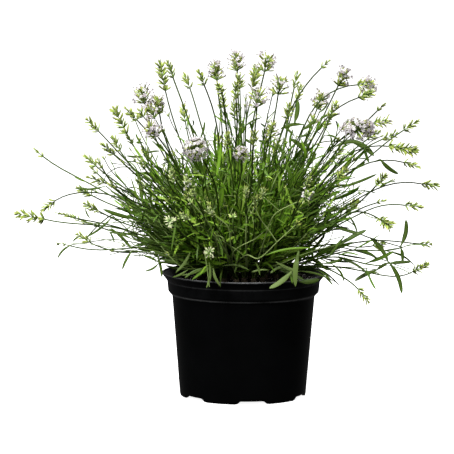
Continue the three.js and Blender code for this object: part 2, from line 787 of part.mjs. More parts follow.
const potPlastic = finish(0x101112, 0.45);
const pottingSoil = finish(0x2a1f18, 1);
const foliage = finish(0x6f8f45, 0.75);

const lavender = new THREE.Group();
const roots = findRoots();
lavender.add(toMesh("pot", potSolid(), potPlastic));
lavender.add(toMesh("soil", largestPiece(soilSolid(roots)), pottingSoil));

const limbs = [];
const plans = sprays.map((stems, index) => planSpray(stems, roots[index], index, limbs));
plans.forEach((plan, index) => growLeaves(plan, index, limbs));
plans.forEach((plan, index) => {
  const name = `spray_${String(index + 1).padStart(2, "0")}`;
  lavender.add(toMesh(name, spraySolid(plan), foliage));
});

export default lavender;
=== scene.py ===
# A potted lavender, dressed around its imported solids. Lengths are in millimetres until a mesh is
# made, which is in metres. +Z is up, the origin is the middle of the pot's base, and +Y points
# away from the viewer.

import math
from functools import lru_cache

import bmesh
import bpy
import numpy as np
from mathutils import Matrix, Vector, noise


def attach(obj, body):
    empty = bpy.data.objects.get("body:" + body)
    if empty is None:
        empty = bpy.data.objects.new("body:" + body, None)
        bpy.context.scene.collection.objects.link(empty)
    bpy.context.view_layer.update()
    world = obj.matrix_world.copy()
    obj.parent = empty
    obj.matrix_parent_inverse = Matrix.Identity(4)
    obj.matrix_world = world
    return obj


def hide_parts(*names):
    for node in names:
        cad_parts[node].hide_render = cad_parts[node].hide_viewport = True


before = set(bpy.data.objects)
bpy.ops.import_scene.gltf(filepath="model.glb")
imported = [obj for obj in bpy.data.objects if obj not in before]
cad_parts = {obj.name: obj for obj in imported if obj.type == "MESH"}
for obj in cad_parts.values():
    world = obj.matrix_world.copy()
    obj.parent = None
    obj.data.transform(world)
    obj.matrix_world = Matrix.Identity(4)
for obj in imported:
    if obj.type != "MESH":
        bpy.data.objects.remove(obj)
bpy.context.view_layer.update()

MM = 0.001
UP = np.array([0.0, 0.0, 1.0])
ACROSS = np.array([1.0, 0.0, 0.0])

# The pot
POT_HEIGHT = 113.5
POT_TOP_RADIUS = 75.0
LIP_DEPTH = 7.8
LIP_FOOT_RADIUS = 69.9
COLLAR_DEPTH = 17.2
COLLAR_FOOT_RADIUS = 69.0
NECK_DEPTH = 21.2
NECK_RADIUS = 65.3
POT_BASE_RADIUS = 58.0
FOOT_RADIUS = 57.4
FOOT_RING_WIDTH = 2.6
FOOT_HEIGHT = 3.0
POT_FLOOR_THICKNESS = 1.8
POT_WALL = 1.5
CENTRE_PAD_RADIUS = 9.0
DRAIN_HOLE_RADIUS = 4.5
DRAIN_HOLE_CIRCLE = 44.0
DRAIN_COUNT = 6
NOTCH_WIDTH = 29.0
NOTCH_TOP_WIDTH = 20.0
NOTCH_HEIGHT = 3.6
NOTCH_TURN = 8.5
POT_SEGMENTS = 144
POT_CORNER = 0.55
LIP_BEAD = 1.0

# The soil
SOIL_EDGE_HEIGHT = 106.2
SOIL_MOUND = 3.2
SOIL_BUMPS = 0.9
LUMP_WAVES = (0.31, 0.27, 0.53)
LUMP_SHIFTS = (1.7, -0.4)
SMALL_LUMP_SHARE = 0.6
FIT_GAP = 0.35

# Woody stems, one to each spray
TRUNK_RADIUS = 3.0
TRUNK_DEPTH = 18.0
TRUNK_RISE = 5.0
BRANCH_SPREAD = 1.5
BRANCH_SEAT = 0.9
FOOT_LIFT = UP * (TRUNK_RISE - BRANCH_SEAT)
CROWN_REACH = 43.0
ROOT_SPACING = 11.0
SPACING_PASSES = 60
LEAST_START_RISE = 0.85
START_RISE_SHARE = 0.45

# Flowering stems and their spikes
ROOT_STEM_RADIUS = 0.9
WHORL_PITCH = 4.75
TIP_LENGTH = 3.0
WHORL_GAP = 6.0
KINDS = {
    "bud": dict(sides=3, whorls=2, reach=2.9, apart=False),
    "spike": dict(sides=3, whorls=3, reach=3.9, apart=False),
    "long": dict(sides=4, whorls=4, reach=3.8, apart=True),
    "bloom": dict(sides=4, whorls=3, reach=4.8, apart=False),
    "head": dict(sides=5, whorls=3, reach=7.4, apart=False),
}

# Leaves and leafy shoots
LEAF_LENGTH = (26, 41)
LEAF_WIDTH = (3.6, 4.8)
LEAF_OPENING = (0.3, 0.75)
LEAF_SAG = (0.02, 0.2)
LEAF_ATTEMPTS = 6
LEAF_GAP = 0.5
POT_CLEARANCE = 3
LEAF_SAMPLES = np.array([0.1, 0.22, 0.34, 0.46, 0.58, 0.7, 0.82, 0.94])
LEAF_WIDEST = 0.5
LEAF_FOOT_SHARE = 0.4
FREE_LEAF_SHARE = 0.4
STEM_LEAF_PLACE = (0.18, 0.5)
STEM_LEAF_SCALE = 0.9
SHOOT_LEAF_PLACES = (0.34, 0.6, 0.86)
SHOOT_LEAF_SCALE = 0.95
END_LEAF_SCALE = 0.9
LEAST_END_LEAF_SCALE = 0.2
END_LEAF_SHRINK = 0.85
END_LEAF_TILT = 0.2
SHOOT_REACH = (72, 108)
SHOOT_SPREAD = 14
SHOOT_LIFT = 10
LOWEST_SHOOT_TIP = 125
SHOOT_SIDES = 4

# How stems bow to the side, and how one that would cross another is tried again
STEM_SWAY = 0.04
SHOOT_SWAY = 0.08
SWAY_TRIES = 24
SWAY_GROWTH = 0.15
TIP_SHIFT = 1
STEM_GAP = 0.7
STEM_SAMPLES = 40
SPIKE_SAMPLES = 4
SHARED_FOOT_SHARE = 0.06
LIMB_STEPS = 10
PATH_STEPS = 60
FIRST_SEED = 1000003
SEED_STEP = 700001
DRAW_FACTOR = 48271
DRAW_RANGE = 2147483647

EYE = np.array([-15.5, -2600.0, 455.0])
CROWN = np.array([0.0, 0.0, 112.0])

# Each line is one spray. A stem is [kind, across, up, depth, droop]: where its tip is seen, right
# of the pot's middle and above its base, how far it lies behind the pot's middle, and how many
# degrees the spike leans below the line from its root.
SPRAYS = [
    [["long", -210, 166, -10, 7], ["spike", -175, 168, -50, 6], ["bud", -171, 139, -40, 0]],
    [["spike", -186, 168, 40, 55], ["spike", -154, 148, 60, -15], ["bud", -160, 165, 80, 0]],
    [["bud", -193, 226, 15, -4], ["spike", -154, 190, 40, 7], ["spike", -147, 220, 75, 2]],
    [["spike", -145, 254, -25, 5], ["spike", -144, 200, -60, 18], ["spike", -131, 231, -80, 8]],
    [["spike", -147, 176, -100, 2], ["bud", -125, 195, -120, 5], ["bud", -135, 218, -95, -15]],
    [["bud", -142, 211, 110, -5], ["spike", -121, 238, 90, -10], ["spike", -110, 175, 140, 5]],
    [["long", -120, 264, 45, -5], ["bloom", -95, 286, 20, -11], ["bud", -109, 240, 60, 0]],
    [["spike", -110, 264, -35, 15], ["bloom", -80, 276, -60, -15], ["bloom", -89, 250, -90, 12]],
    [["spike", -99, 219, -130, 0], ["spike", -100, 199, -135, 5], ["spike", -68, 209, -150, 0]],
    [["spike", -94, 229, 100, 0], ["spike", -75, 205, 145, 5], ["bloom", -57, 267, 95, -8]],
    [["long", -78, 306, 10, -7], ["spike", -56, 296, 60, 12], ["bloom", -27, 307, 35, 0]],
    [["spike", -71, 307, -35, 2], ["spike", -43, 299, -45, 15], ["spike", -25, 286, -70, 40]],
    [["head", -45, 227, -140, 20], ["spike", -54, 201, -130, 0], ["spike", -16, 241, -110, 0]],
    [["bloom", -70, 163, -120, 0], ["spike", -57, 167, -160, 5], ["spike", -48, 190, -165, 0]],
    [["spike", -32, 173, -150, 0], ["bloom", -33, 133, -130, 5], ["shoot", -27, 119, -74, 20]],
    [["spike", -21, 279, 85, 8], ["spike", -10, 272, 95, 0], ["spike", -25, 240, 130, 0]],
    [["spike", -35, 180, 175, 5], ["spike", -60, 150, 162, 5]],
    [["bloom", -8, 316, 10, 0], ["long", 11, 303, 55, 25]],
    [["spike", -9, 288, -75, 0], ["bloom", 12, 284, -50, 0], ["bloom", 22, 316, -20, 8]],
    [["bloom", -3, 225, -150, 10], ["spike", 9, 244, -130, 0], ["spike", 2, 191, -165, 0]],
    [["bloom", 26, 250, -120, 10], ["spike", 41, 269, -95, 0], ["bloom", 33, 296, -55, 0]],
    [["spike", 48, 298, 50, 0], ["spike", 51, 286, 100, 0], ["spike", 30, 235, 135, 0]],
    [["spike", 61, 202, -150, 0], ["bloom", 59, 187, -165, 5], ["spike", 94, 209, -130, 5]],
    [["bud", 78, 309, 20, 30], ["bloom", 93, 301, -20, 5]],
    [["bloom", 84, 271, -70, 0], ["head", 102, 246, -90, 12]],
    [["bloom", 71, 280, 85, 0], ["spike", 79, 259, 110, 5], ["spike", 90, 230, 130, 0]],
    [["bloom", 120, 286, 30, 60], ["bud", 129, 270, 60, 14], ["spike", 124, 244, 80, 19]],
    [["bloom", 119, 280, -30, 39], ["spike", 134, 253, -50, 43], ["spike", 141, 242, 10, 28]],
    [["spike", 159, 254, -10, 14], ["long", 159, 225, -45, 50], ["spike", 130, 205, -110, -6]],
    [["spike", 161, 210, 45, 53], ["bud", 131, 181, 90, 14], ["spike", 105, 180, 140, 5]],
    [["spike", 179, 193, 0, 37], ["bud", 173, 140, 50, 12], ["spike", 130, 140, 110, 5]],
    [["spike", 164, 174, -60, 31], ["spike", 136, 155, -100, 46], ["shoot", 145, 137, -20, 0]],
    [["spike", 170, 123, -40, -23], ["spike", 116, 85, -60, 33], ["shoot", 125, 120, -90, 10]],
    [["spike", 10, 183, -150, 0], ["spike", 18, 191, -140, 5], ["shoot", 38, 122, -76, 20]],
    [["spike", 0, 215, 160, 0], ["spike", 35, 175, 175, 5]],
    [["spike", 55, 145, 165, 5], ["spike", 66, 210, 150, 5]],
]

# What only the finer model has: leafy shoots that fill the dome of leaves, and thin twigs above it.
# For each: how far its tip is from the crown, what share of that it keeps at the side and from what
# rise on it is whole, how much farther it reaches at the top, its droop in degrees, how much it is
# waved, how its tip is strewn, its radii at foot and tip, and how light it is.
FILL_SHOOTS = 170
FILL_FORM = dict(reach=(60, 100), side=0.6, whole_from=0.6, top=26, droop=(-25, 25), wave=0.045,
                 strewn=((-20, 20), (-20, 20), (-8, 12)), radii=(0.6, 0.4), tints=(0, 1))
TWIGS = 140
TWIG_FORM = dict(reach=(105, 176), side=0.62, whole_from=0.7, top=0, droop=(-25, 30), wave=0.035,
                 strewn=((-22, 22), (-22, 22), (-10, 12)), radii=(0.62, 0.48), tints=(0, 0.6))
ADDED_SWAY = 0.128
LOWEST_WAY = 0.2
# Below this rise, the shares of the added stems that are left out on the left and on the right
LOW_FILL = 0.5
LOW_FILL_GAPS = (0.15, 0.92)
FILL_SEED = 4200017
NEAREST_ROOT_SHARE = 0.9
RIM_REACH = 56
LEFT_LEAF_SLOPE = 0.28
RIGHT_LEAF_SLOPE = 0.8
LAST_LEAF_RISE = 60
LEAST_LEAF_HEIGHT = 116.5
FRONT_LEAF_DEPTH = -38
FRONT_LEAF_HEIGHT = 121.0

# Pairs of small leaves. A blade is the range of its length and of its width.
PAIR_TURN = (-0.35, 0.35)
PAIR_OUT = 0.3
FILL_OPENING = (0.15, 0.85)
WIDER_OPENING = (0.2, 0.9)
WIDE_OPENING_SHARE = 0.25
FILL_SAG = (-0.1, 0.2)
FILL_SECTIONS = 6
WIDTH_KEPT = 0.4
FILL_BLADE = ((24, 48), (1.3, 4.3))
TWIG_BLADE = ((14, 30), (1.5, 3.6))
SIDE_TWIG_BLADE = ((14, 30), (1.8, 2.4))
STRAY_BLADE = ((24, 48), (1.2, 2.2))
STEM_BLADE = (LEAF_LENGTH, (2.0, 3.4))
SHOOT_BLADE = (LEAF_LENGTH, (2.0, 3.6))
# Where pairs stand along a stem, and their sizes
FILL_PAIRS = 6
FILL_PAIR_FIRST = 0.16
FILL_PAIR_SPAN = 0.8
FILL_PAIR_SHRINK = 0.3
FILL_END_LEAF = dict(opening=(-0.2, 0.2), length=(12, 22), width=(1.8, 2.6), sag=0.03, sections=7)
TWIG_PAIRS = ((0.3, 1.25), (0.5, 1.075), (0.68, 0.9), (0.84, 0.725))
TWIG_PAIR_SHIFT = (-0.04, 0.04)
TWIG_END_PAIR = (0.99, 0.5)
TWIG_BUD_SHARE = 0.6
TWIG_BUD_BODY = (0.5, 5)
STEM_PAIRS = ((0.1, 0.8), (0.24, 0.72), (0.38, 0.6), (0.55, 0.5), (0.72, 0.38))
STEM_PAIR_SHIFT = (-0.05, 0.05)
SHOOT_PAIRS = ((0.2, 0.85), (0.46, 0.85), (0.72, 0.85), (0.95, 0.85))
SHOOT_PAIR_SHIFT = (-0.04, 0.04)

# Short side twigs with a bud, on flowering stems
SIDE_TWIG_SHARE = 0.55
SIDE_TWIG_PLACE = (0.6, 0.9)
SIDE_TWIG_LEAN = (0.35, 0.7)
SIDE_TWIG_LENGTH = (9, 24)
SIDE_TWIG_POINTS = 7
SIDE_TWIG_RADII = (0.46, 0.4)
SIDE_TWIG_BODY = (1.5, 6)
SIDE_TWIG_PAIR = (-0.005, 0.4)

# Thin stems to single leaves that would hang free, and stray stems that wander over the leaves
PLACED_SPRAY = 14
STALK_REACH = 4.0
STALK_BEND = 0.55
STALK_RISE = 11.0
STALK_ARCH = 3.0
# Below what height over the crown a leaf's stalk is led over the rim, how high over the crown the
# stalk passes there, and at what share of the way out
STALK_RIM = (5, 6.5, 0.9)
STALK_POINTS = 10
STALK_RADII = (0.5, 0.4)
STALK_TINTS = (0.1, 0.55)
STRAYS = 86
LOWEST_STRAY_WAY = 0.08
STRAY_STREWN = ((-0.3, 0.3), (-0.3, 0.3), (-0.1, 0.3))
BACK_STRAY_WAY = 0.3
BACK_STRAY_SHARE = 0.5
STRAY_LEANS = (-1.4, 1.4)
STRAY_LENGTHS = (30, 75)
STRAY_DOME = 108
STRAY_HEIGHTS = (0.85, 1.05)
STRAY_BENDS = (-0.2, 0.2)
STRAY_ARCH = 12
STRAY_POINTS = 20
STRAY_RADII = (0.38, 0.52)
STRAY_END_RADIUS = 0.36
STRAY_TINTS = (0.55, 0.95)
STRAY_PAIRS = ((0.5, 0.7), (0.75, 0.97))
STRAY_PAIR_SIZE = 0.7

# The stems, leaves and spikes that were measured one by one
MEASURED_POINTS = 24
MEASURED_END_SHARE = 0.75
LEVEL_STEM_RISE = 40
LEAST_BUD = 2.5
MEASURED_LIFT = (-0.05, 0.08)
MEASURED_TURN = (-0.3, 0.3)
MEASURED_TWIST = (-0.4, 0.4)
# Placed leaves that stand clear are darkened as painted shade; those low in front near the middle keep mid
# tints
SHADED_CLEAR_LEAF_TINTS = (0.0, 0.12)
RIM_LEAF_TINTS = (0.5, 0.74)
LIGHT_LEAF_TINTS = (0.5, 0.65)
LIGHT_LEAF_DEPTH = -75
FAR_FRONT_DEPTH = -100
LIGHT_LEAF_REACH = 60
SPIKE_TURN = (-0.2, 0.2)
SPIKE_STEM_POINTS = 20
SPIKE_STEM_RADII = (0.6, 0.5)
SPIKE_STEM_TINTS = (0.2, 0.6)
SPIKE_STEM_BEND = 0.6

# The finer stems are thinner than the solids, and waved
FINE_RADII = (0.85, 0.68)
FINE_TINTS = (0, 0.45)
STEM_WAVE = 0.016
WAVE_TURNS = (0.8, 1.6)
STEM_POINTS = 19
STEM_SIDES = 6
NODE_SWELL = 0.16
NODE_SPAN = 0.025
LOW_TIP_HEIGHT = 195
BARE_LOW_SHARE = 0.72
FINE_LEAF_WIDTH_SHARE = 0.82
SHARP_EDGE_ANGLE = 62

# A leaf's cross-section: half widths across, and how high the blade's face stands there. The last
# corner is the keel. LEAF_LINES says how light the rib is at each corner.
LEAF_CORNERS = np.array([[1.0, 0.06], [0.5, 0.1], [0.0, -0.1], [-0.5, 0.1], [-1.0, 0.06], [0.0, -0.16]])
LEAF_LINES = (0, 0, 1, 0, 0, 0.7)
LEAF_TIP_LINE = 0.5
LEAF_KEEL = 0.22
LEAST_KEEL = 0.3
LEAF_SECTIONS = 10
LEAF_FOOT_WIDTH = 0.32
LEAF_WHOLE_FROM = 0.38
LEAF_NARROWS_FROM = 0.45
LEAF_TIP_POWER = 2.6
LEAF_BOW = 0.18
LEAF_ARCH = (-0.09, 0.14)
LEAF_TWIST = (-0.9, 0.9)
# Leaves beside the pot, out past a reach and below a height, and leaves over the rim below a height, take
# the darker tints below as painted shade
SIDE_LEAF_REACH = 60
SIDE_LEAF_HEIGHT = 180
RIM_LEAF_HEIGHT = 128.0
SHADED_SIDE_TINTS = (0.0, 0.4)

# A calyx. Its outlines are shares of its length and radius.
CALYX_LENGTH = 5.7
CALYX_RADIUS = 0.7
CALYX_SIDES = 6
CALYX_RIBS = 0.2
CALYX_BEND = (-0.5, 0.5)
CALYX_HINT = (0.31, 0.17, 0.93)
CALYX_RISE = np.array([0.0, 0.16, 0.5, 0.86, 1.0, 0.93])
CALYX_PROFILE = np.array([0.3, 0.72, 1.0, 0.84, 1.0, 0.5])
BUD_RISE = np.array([0.0, 0.16, 0.46, 0.76, 0.93])
BUD_PROFILE = np.array([0.3, 0.76, 1.0, 0.8, 0.42])
BUD_TIP = 0.16
CALYX_WIDTHS = (0.9, 1.12)
CALYX_MOUTH = 0.9
CALYX_TINTS = (0.0, 0.82)
GREEN_TINTS = (0.0, 0.5)
FRONT_TINTS = (0.74, 0.93)
BLOOM_TINTS = (0.3, 0.88)
PALE_TINTS = (0.9, 1.0)

# A corolla: a tube with spreading lobes, of which the first ones are larger
FLOWER_HINT = (0.2, 0.9, 0.4)
TUBE_RISE = (0.0, 0.6, 1.0)
TUBE_RADII = (0.34, 0.3, 0.5)
TUBE_SIDES = 6
TUBE_SHADE = 0.2
LOBES = 5
LARGE_LOBES = 2
LARGE_LOBE = (0.9, 1.15)
SMALL_LOBE = (0.6, 0.85)
LOBE_LEAN = (0.0, 0.7)
LOBE_CURL = (0.0, 0.6)
PETAL_RISE = np.array([0.0, 0.5, 0.92])
PETAL_WIDTH = np.array([0.4, 1.0, 0.7])
PETAL_BREADTH = 0.34
PETAL_THICKNESS = 0.1
PETAL_TIP = 0.1

# The thin curled strips of a withered corolla
DRY_STRIPS = 2
DRY_POINTS = 5
DRY_REACH = (1.6, 3.0)
DRY_CURL = (0.6, 1.8)
DRY_RADII = (0.26, 0.13)
DRY_TINTS = (0, 0.12)
DRY_LINE = 0.5
DRY_SIDES = 4

# Spikes: whorls of calyces and bracts round an axis, and round heads
AXIS_TINT = 0.6
AXIS_POINTS = 6
AXIS_RADII = (0.42, 0.3)
AXIS_OUT = 0.3
WHORL_SPACING = 3.8
WHORL_TURN = (-0.2, 0.2)
WHORL_COUNT = (-0.5, 0.5)
FULL_WHORLS = 0.7
HALF_WHORL_FAN = 0.93
FAN_TURN = (-0.25, 0.25)
TOP_LEAN_LOSS = 0.3
BRACT_DROP = 0.3
BRACT_OPENING = 0.9
BRACT_LENGTH = (2.6, 4.2)
BRACT_WIDTH = 1.5
BRACT_SECTIONS = 4
CALYX_HEIGHTS = (-0.4, 0.9)
CALYX_LENGTHS = (0.82, 1.08)
CALYX_STALKS = (0.4, 1.1)
LEAST_CALYX_STALK = 0.5
CALYX_STALK_RADIUS = 0.3
CALYX_STALK_SIDES = 5
CALYX_STALK_TINT = 0.4
END_TURN = (-0.2, 0.2)
END_LEAN = (0.05, 0.5)
END_DROP = 1.2
END_LENGTH = (3.6, 4.8)
END_RADIUS = 0.56
APART_BODY = 2.0
APART_AXIS_RADIUS = 0.4
STAR_RISE = 0.5
BLOOM_DROPS = {"bloom": 1.2, "wide": 2.6}
HEAD_AXIS_SHARE = 1.2
HEAD_AXIS_RADIUS = 0.5
LOWEST_HEAD_WAY = -0.42
HIGHEST_WAY = 0.99
HEAD_STREWN = (-0.22, 0.22)
HEAD_CORE = 1.5
HEAD_STALK_FROM = 0.1
HEAD_STALK_TILT = 0.3
HEAD_CALYX_LENGTHS = (0.85, 1.1)


# How many calyces stand in a half whorl and at the tip, how far they lean out, the length of their
# stalks, their size, the shares of closed and of dry ones, the sizes of a petal and of a tube, and
# how light the calyces and the petals are
def look_of(half, ends, lean, stalk, size, closed=1.0, dry=0.0, petal=(1, 1), tube=(1, 1),
            tints=CALYX_TINTS, hues=(0.25, 0.9)):
    return dict(half=half, ends=ends, lean=lean, stalk=stalk, size=size, closed=closed, dry=dry,
                petal=petal, tube=tube, tints=tints, hues=hues)


LOOKS = {
    "tip": look_of(1, 2, (0.35, 0.7), 0.1, 0.62),
    "thin": look_of(1.5, 2, (0.25, 0.55), 0.1, 0.72, tints=GREEN_TINTS),
    "bud": look_of(2, 3, (0.4, 0.8), 0.3, 0.85),
    "spike": look_of(2.6, 4, (0.55, 1.05), 0.6, 1.05),
    "front": look_of(2.6, 3, (0.35, 0.85), 0.3, 0.78, tints=FRONT_TINTS),
    "front faint": look_of(3, 4, (0.5, 1.2), 0.8, 0.85, 0.6, 0.1, (1.3, 1.9), (1, 2), FRONT_TINTS, (0.7, 1)),
    "pale": look_of(3, 4, (0.5, 1.4), 0.5, 0.75, tints=(0.75, 0.95)),
    "long": look_of(3.8, 4, (0.6, 1.2), 0.6, 1.25, 0.94, 0.06),
    "faint": look_of(3.8, 4, (0.5, 1.2), 1.3, 0.97, 0.6, 0.14, (1.3, 1.9), (1.2, 2.6), BLOOM_TINTS),
    "bloom": look_of(6.2, 5, (0.4, 1.3), 1.9, 0.97, 0.1, 0.2, (1.8, 2.5), (1.6, 3.6), BLOOM_TINTS),
    "wide": look_of(6, 5, (0.5, 1.5), 3.2, 1.1, 0.08, 0.22, (1.8, 2.5), (2.2, 4.8), BLOOM_TINTS),
    "star": look_of(6, 5, (0.7, 1.6), 0.9, 0.85, tints=PALE_TINTS),
    "head": look_of(7, 5, (0.5, 1.5), 3.2, 0.9, 0.02, 0.1, (1.9, 2.7), (1.2, 3), hues=(0.35, 1)),
    "small head": look_of(7, 5, (0.5, 1.5), 3.2, 0.75, 0.05, 0.08, (1.6, 2.3), (0.8, 1.8), hues=(0.3, 0.8)),
}
# Spikes that look unlike the rest of their kind, by spray and stem
OTHER_LOOKS = {
    (0, 1): "thin", (0, 2): "tip", (6, 1): "wide", (8, 0): "front", (8, 1): "front", (8, 2): "front",
    (9, 2): "faint", (12, 1): "front faint", (13, 0): "star", (13, 1): "front", (13, 2): "front",
    (14, 0): "front", (14, 1): "star", (18, 1): "wide", (18, 2): "wide", (19, 0): "small head",
    (19, 2): "front", (20, 0): "faint", (20, 2): "wide", (22, 0): "front", (22, 1): "front faint",
    (24, 0): "faint", (27, 0): "faint", (27, 1): "faint", (30, 1): "spike", (31, 1): "long",
    (33, 0): "thin", (33, 1): "front",
}
# How many flowers a head has, how high its middle stands, how long the flowers' stalks are, and
# its swelling and its shift across, in depth and up
HEADS = {
    (12, 0): (98, 9.5, (1.8, 4.4), (1.05, 1.0, 1.0), (-2.0, 0.0, 1.5)),
    (24, 1): (150, 13.5, (2.4, 5.2), (1.85, 1.2, 0.85), (2.5, 0.0, 0.8)),
    (19, 0): (42, 10.0, (0.8, 2.2), (0.9, 0.9, 0.9), (0.0, 0.0, 0.8)),
}

# Finer pot and soil. An edge is how far a corner of the wall stands from a radius and from a height,
# and shares are where points are added between two corners.
PAD_SLOPE = 0.4
BASE_EDGE = (0.2, 3.0)
NECK_EDGE = (0.5, 6.0)
RIM_EDGE = (0.9, 2.2)
COLLAR_SHARES = (0.25, 0.5, 0.75)
LIP_SHARES = (0.88,)
RIM_SHARES = (0.2,)
NOTCH_REACH = 5.5
BASE_MARGIN = 1.0
FOOT_MARGIN = 0.1
BEAD_ANGLES = np.radians(np.arange(-20, 201, 20))
ROUNDING_STEPS = 4
ROUNDING_SHARE = 0.45
DRILL_HEIGHTS = (-5.0, 15.0)
DRILL_SIDES = 32
# Heights, outer radii, half widths and strengths of the pot's edges and bands that are painted pale
# as highlights, where light would catch the rim, the lip's foot, the collar and the ledge below it
PAINTED_HIGHLIGHT_EDGES = (
    (POT_HEIGHT - 0.3, POT_TOP_RADIUS - 1.0, 1.3, 1.0),
    (POT_HEIGHT - LIP_DEPTH, LIP_FOOT_RADIUS, 0.8, 0.16),
    (POT_HEIGHT - LIP_DEPTH + 2, LIP_FOOT_RADIUS + 1.2, 4.0, 0.018),
    (POT_HEIGHT - COLLAR_DEPTH + 5, COLLAR_FOOT_RADIUS + 0.4, 9.0, 0.012),
    (POT_HEIGHT - COLLAR_DEPTH - 2.0, COLLAR_FOOT_RADIUS - 1.85, 1.2, 0.7),
)
HIGHLIGHT_CORE = 0.2
# The share of its painted highlight that the rim keeps at its left end, where the highlight is dim
DIM_RIM_HIGHLIGHT = 0.2
DIM_RIM_SPAN = 50
RIM_DEPTH = 3
SOIL_RINGS = 64
SOIL_SEGMENTS = 200
SOIL_RING_POWER = 0.8
SOIL_SHOULDER = 0.4
SOIL_SEED = 9100013
CRUMB_WAVE = 0.22
CRUMB_PLACE = 3.1
CRUMB_NOISE = (0.7, 2.1, 4)
CRUMB_HEIGHT = 1.1
EDGE_CRUMBS = 0.25
# From what radius on the soil's crumbs are less high, and over what width
CRUMB_EDGE = (51, 17)
LUMP_DENTS = 0.45
LUMP_DENT_WAVE = 1.3
LUMP_SHIFT = (0, 50)
LUMP_STRETCH = ((0.7, 1.3), (0.7, 1.3), (0.55, 0.9))
# Counts, ranges of size, reach from the middle, how high they lie, and their fineness
CRUMBS = (420, (0.5, 2.6), 64, 0.25, 2)
SPECKS = (380, (0.42, 1.15), 65, 0.7, 1)
FIBRES = 150
FIBRE_REACH = 62
FIBRE_BEND = (-2, 2)
FIBRE_LENGTH = (4, 13)
FIBRE_POINTS = 6
LAST_FIBRE_REACH = 65
FIBRE_RADIUS = 0.14
FIBRE_SIDES = 4
FIBRE_HEIGHT = 0.1
# Heights from a root and shares of the radius along a woody stem
TRUNK_PROFILE = np.array([[-TRUNK_DEPTH, 0.8], [-4.0, 0.95], [0.0, 1.0], [0.5 * TRUNK_RISE, 0.9],
                          [0.85 * TRUNK_RISE, 0.82], [TRUNK_RISE, 0.5]])
TRUNK_SIDES = 10
TRUNK_RIBS = 0.12
TRUNK_SEED = 515151

# The detail and roughness of a noise that gives only its scale
NOISE_REST = (3.0, 0.6)
# Materials. A source is an attribute, or the scale, detail and roughness of a noise. Each material
# has the source and the stops of its ramp, what is mixed over that and by how much, and its bump.
# times is a second ramp, over the line attribute, that the colour is multiplied by.
SURFACES = {
    "leaves": dict(
        name="lavender_leaf", source="tint", bump=((2600.0,), 0.25, 0.0002),
        stops=((0.0, (0.018, 0.039, 0.003)), (0.4, (0.065, 0.155, 0.006)), (0.75, (0.160, 0.325, 0.012)),
               (1.0, (0.330, 0.490, 0.070))),
        over=(((160.0,), 0.2, (0.17, 0.29, 0.025)), ("line", 0.36, (0.24, 0.36, 0.07))),
        values=dict(Roughness=0.5, Specular_IOR_Level=0.2, Subsurface_Weight=0.1,
                    Subsurface_Scale=0.001, Subsurface_Radius=(0.35, 1.0, 0.1))),
    "stems": dict(
        name="lavender_stem", source="tint", bump=((1800.0,), 0.3, 0.0002),
        stops=((0.0, (0.018, 0.038, 0.004)), (0.5, (0.060, 0.118, 0.009)), (1.0, (0.310, 0.420, 0.130))),
        over=(((90.0,), 0.25, (0.040, 0.045, 0.014)),),
        values=dict(Roughness=0.55, Specular_IOR_Level=0.25)),
    "spikes": dict(
        name="lavender_calyx", source="tint", bump=((3200.0,), 0.4, 0.0002),
        stops=((0.0, (0.130, 0.178, 0.026)), (0.42, (0.345, 0.398, 0.068)), (0.70, (0.600, 0.640, 0.160)),
               (0.84, (0.560, 0.680, 0.270)), (0.96, (0.920, 0.930, 0.660))),
        times=((0.0, (0.20, 0.36, 0.14)), (0.45, (0.70, 0.86, 0.60)), (0.8, (1.0, 1.0, 1.0)),
               (1.0, (0.82, 0.72, 0.72))),
        over=(((420.0,), 0.3, (0.42, 0.50, 0.16)),),
        values=dict(Roughness=0.8, Specular_IOR_Level=0.12, Sheen_Weight=0.15, Sheen_Roughness=0.5)),
    "petals": dict(
        name="lavender_petal", source="tint", bump=((2400.0,), 0.2, 0.0002),
        stops=((0.0, (0.036, 0.026, 0.026)), (0.16, (0.110, 0.080, 0.092)), (0.25, (0.320, 0.260, 0.290)),
               (0.55, (0.630, 0.570, 0.580)), (1.0, (0.950, 0.915, 0.885))),
        over=(((600.0,), 0.2, (0.50, 0.42, 0.48)),),
        values=dict(Roughness=0.7, Specular_IOR_Level=0.2, Subsurface_Weight=0.5,
                    Subsurface_Scale=0.003, Subsurface_Radius=(1.0, 0.9, 0.8))),
    "bark": dict(
        name="woody_stem", source=(240.0, 5.0), bump=((500.0, 5.0), 0.8, 0.0006),
        stops=((0.3, (0.045, 0.032, 0.018)), (0.7, (0.160, 0.120, 0.070))),
        values=dict(Roughness=0.9)),
    "soil": dict(
        name="potting_soil", source=(190.0, 6.0, 0.7), bump=((900.0, 6.0), 0.9, 0.0008),
        stops=((0.32, (0.003, 0.0024, 0.0018)), (0.5, (0.008, 0.006, 0.0044)),
               (0.72, (0.032, 0.022, 0.015))),
        over=(("tint", 0.3, (0.030, 0.020, 0.013)),),
        values=dict(Roughness=0.95, Specular_IOR_Level=0.2)),
    "pot": dict(
        name="black_plastic", source=(22.0,), bump=((1500.0, 2.0), 0.08, 0.0002),
        stops=((0.35, (0.0012, 0.0013, 0.0014)), (0.7, (0.0020, 0.0021, 0.0023))),
        values=dict(Specular_IOR_Level=0.05)),
}
# The colour of the painted highlights on the pot's edges, and the noise that makes them patchy
HIGHLIGHT_COLOR = (0.34, 0.345, 0.35)
HIGHLIGHT_NOISE = (30.0,)
HIGHLIGHT_GAIN = 2.4
HIGHLIGHT_LOSS = -0.62
SHEEN_NOISE = (60.0, 4.0)
SHEEN_GAIN = 0.12
SHEEN_LEAST = 0.22
# Names, colours, roughness and the scale of the grain
FIBRE_SURFACE = ("dry_fibre", (0.16, 0.10, 0.05), 0.9, 300.0)
SPECK_SURFACE = ("perlite", (0.72, 0.70, 0.66), 0.85, 500.0)
GRAIN_SHADE = 0.8
GRAIN_BUMP = (0.3, 0.0003)
SLOTS = dict(stems="foliage", leaves="foliage", spikes="spike", petals="corolla")

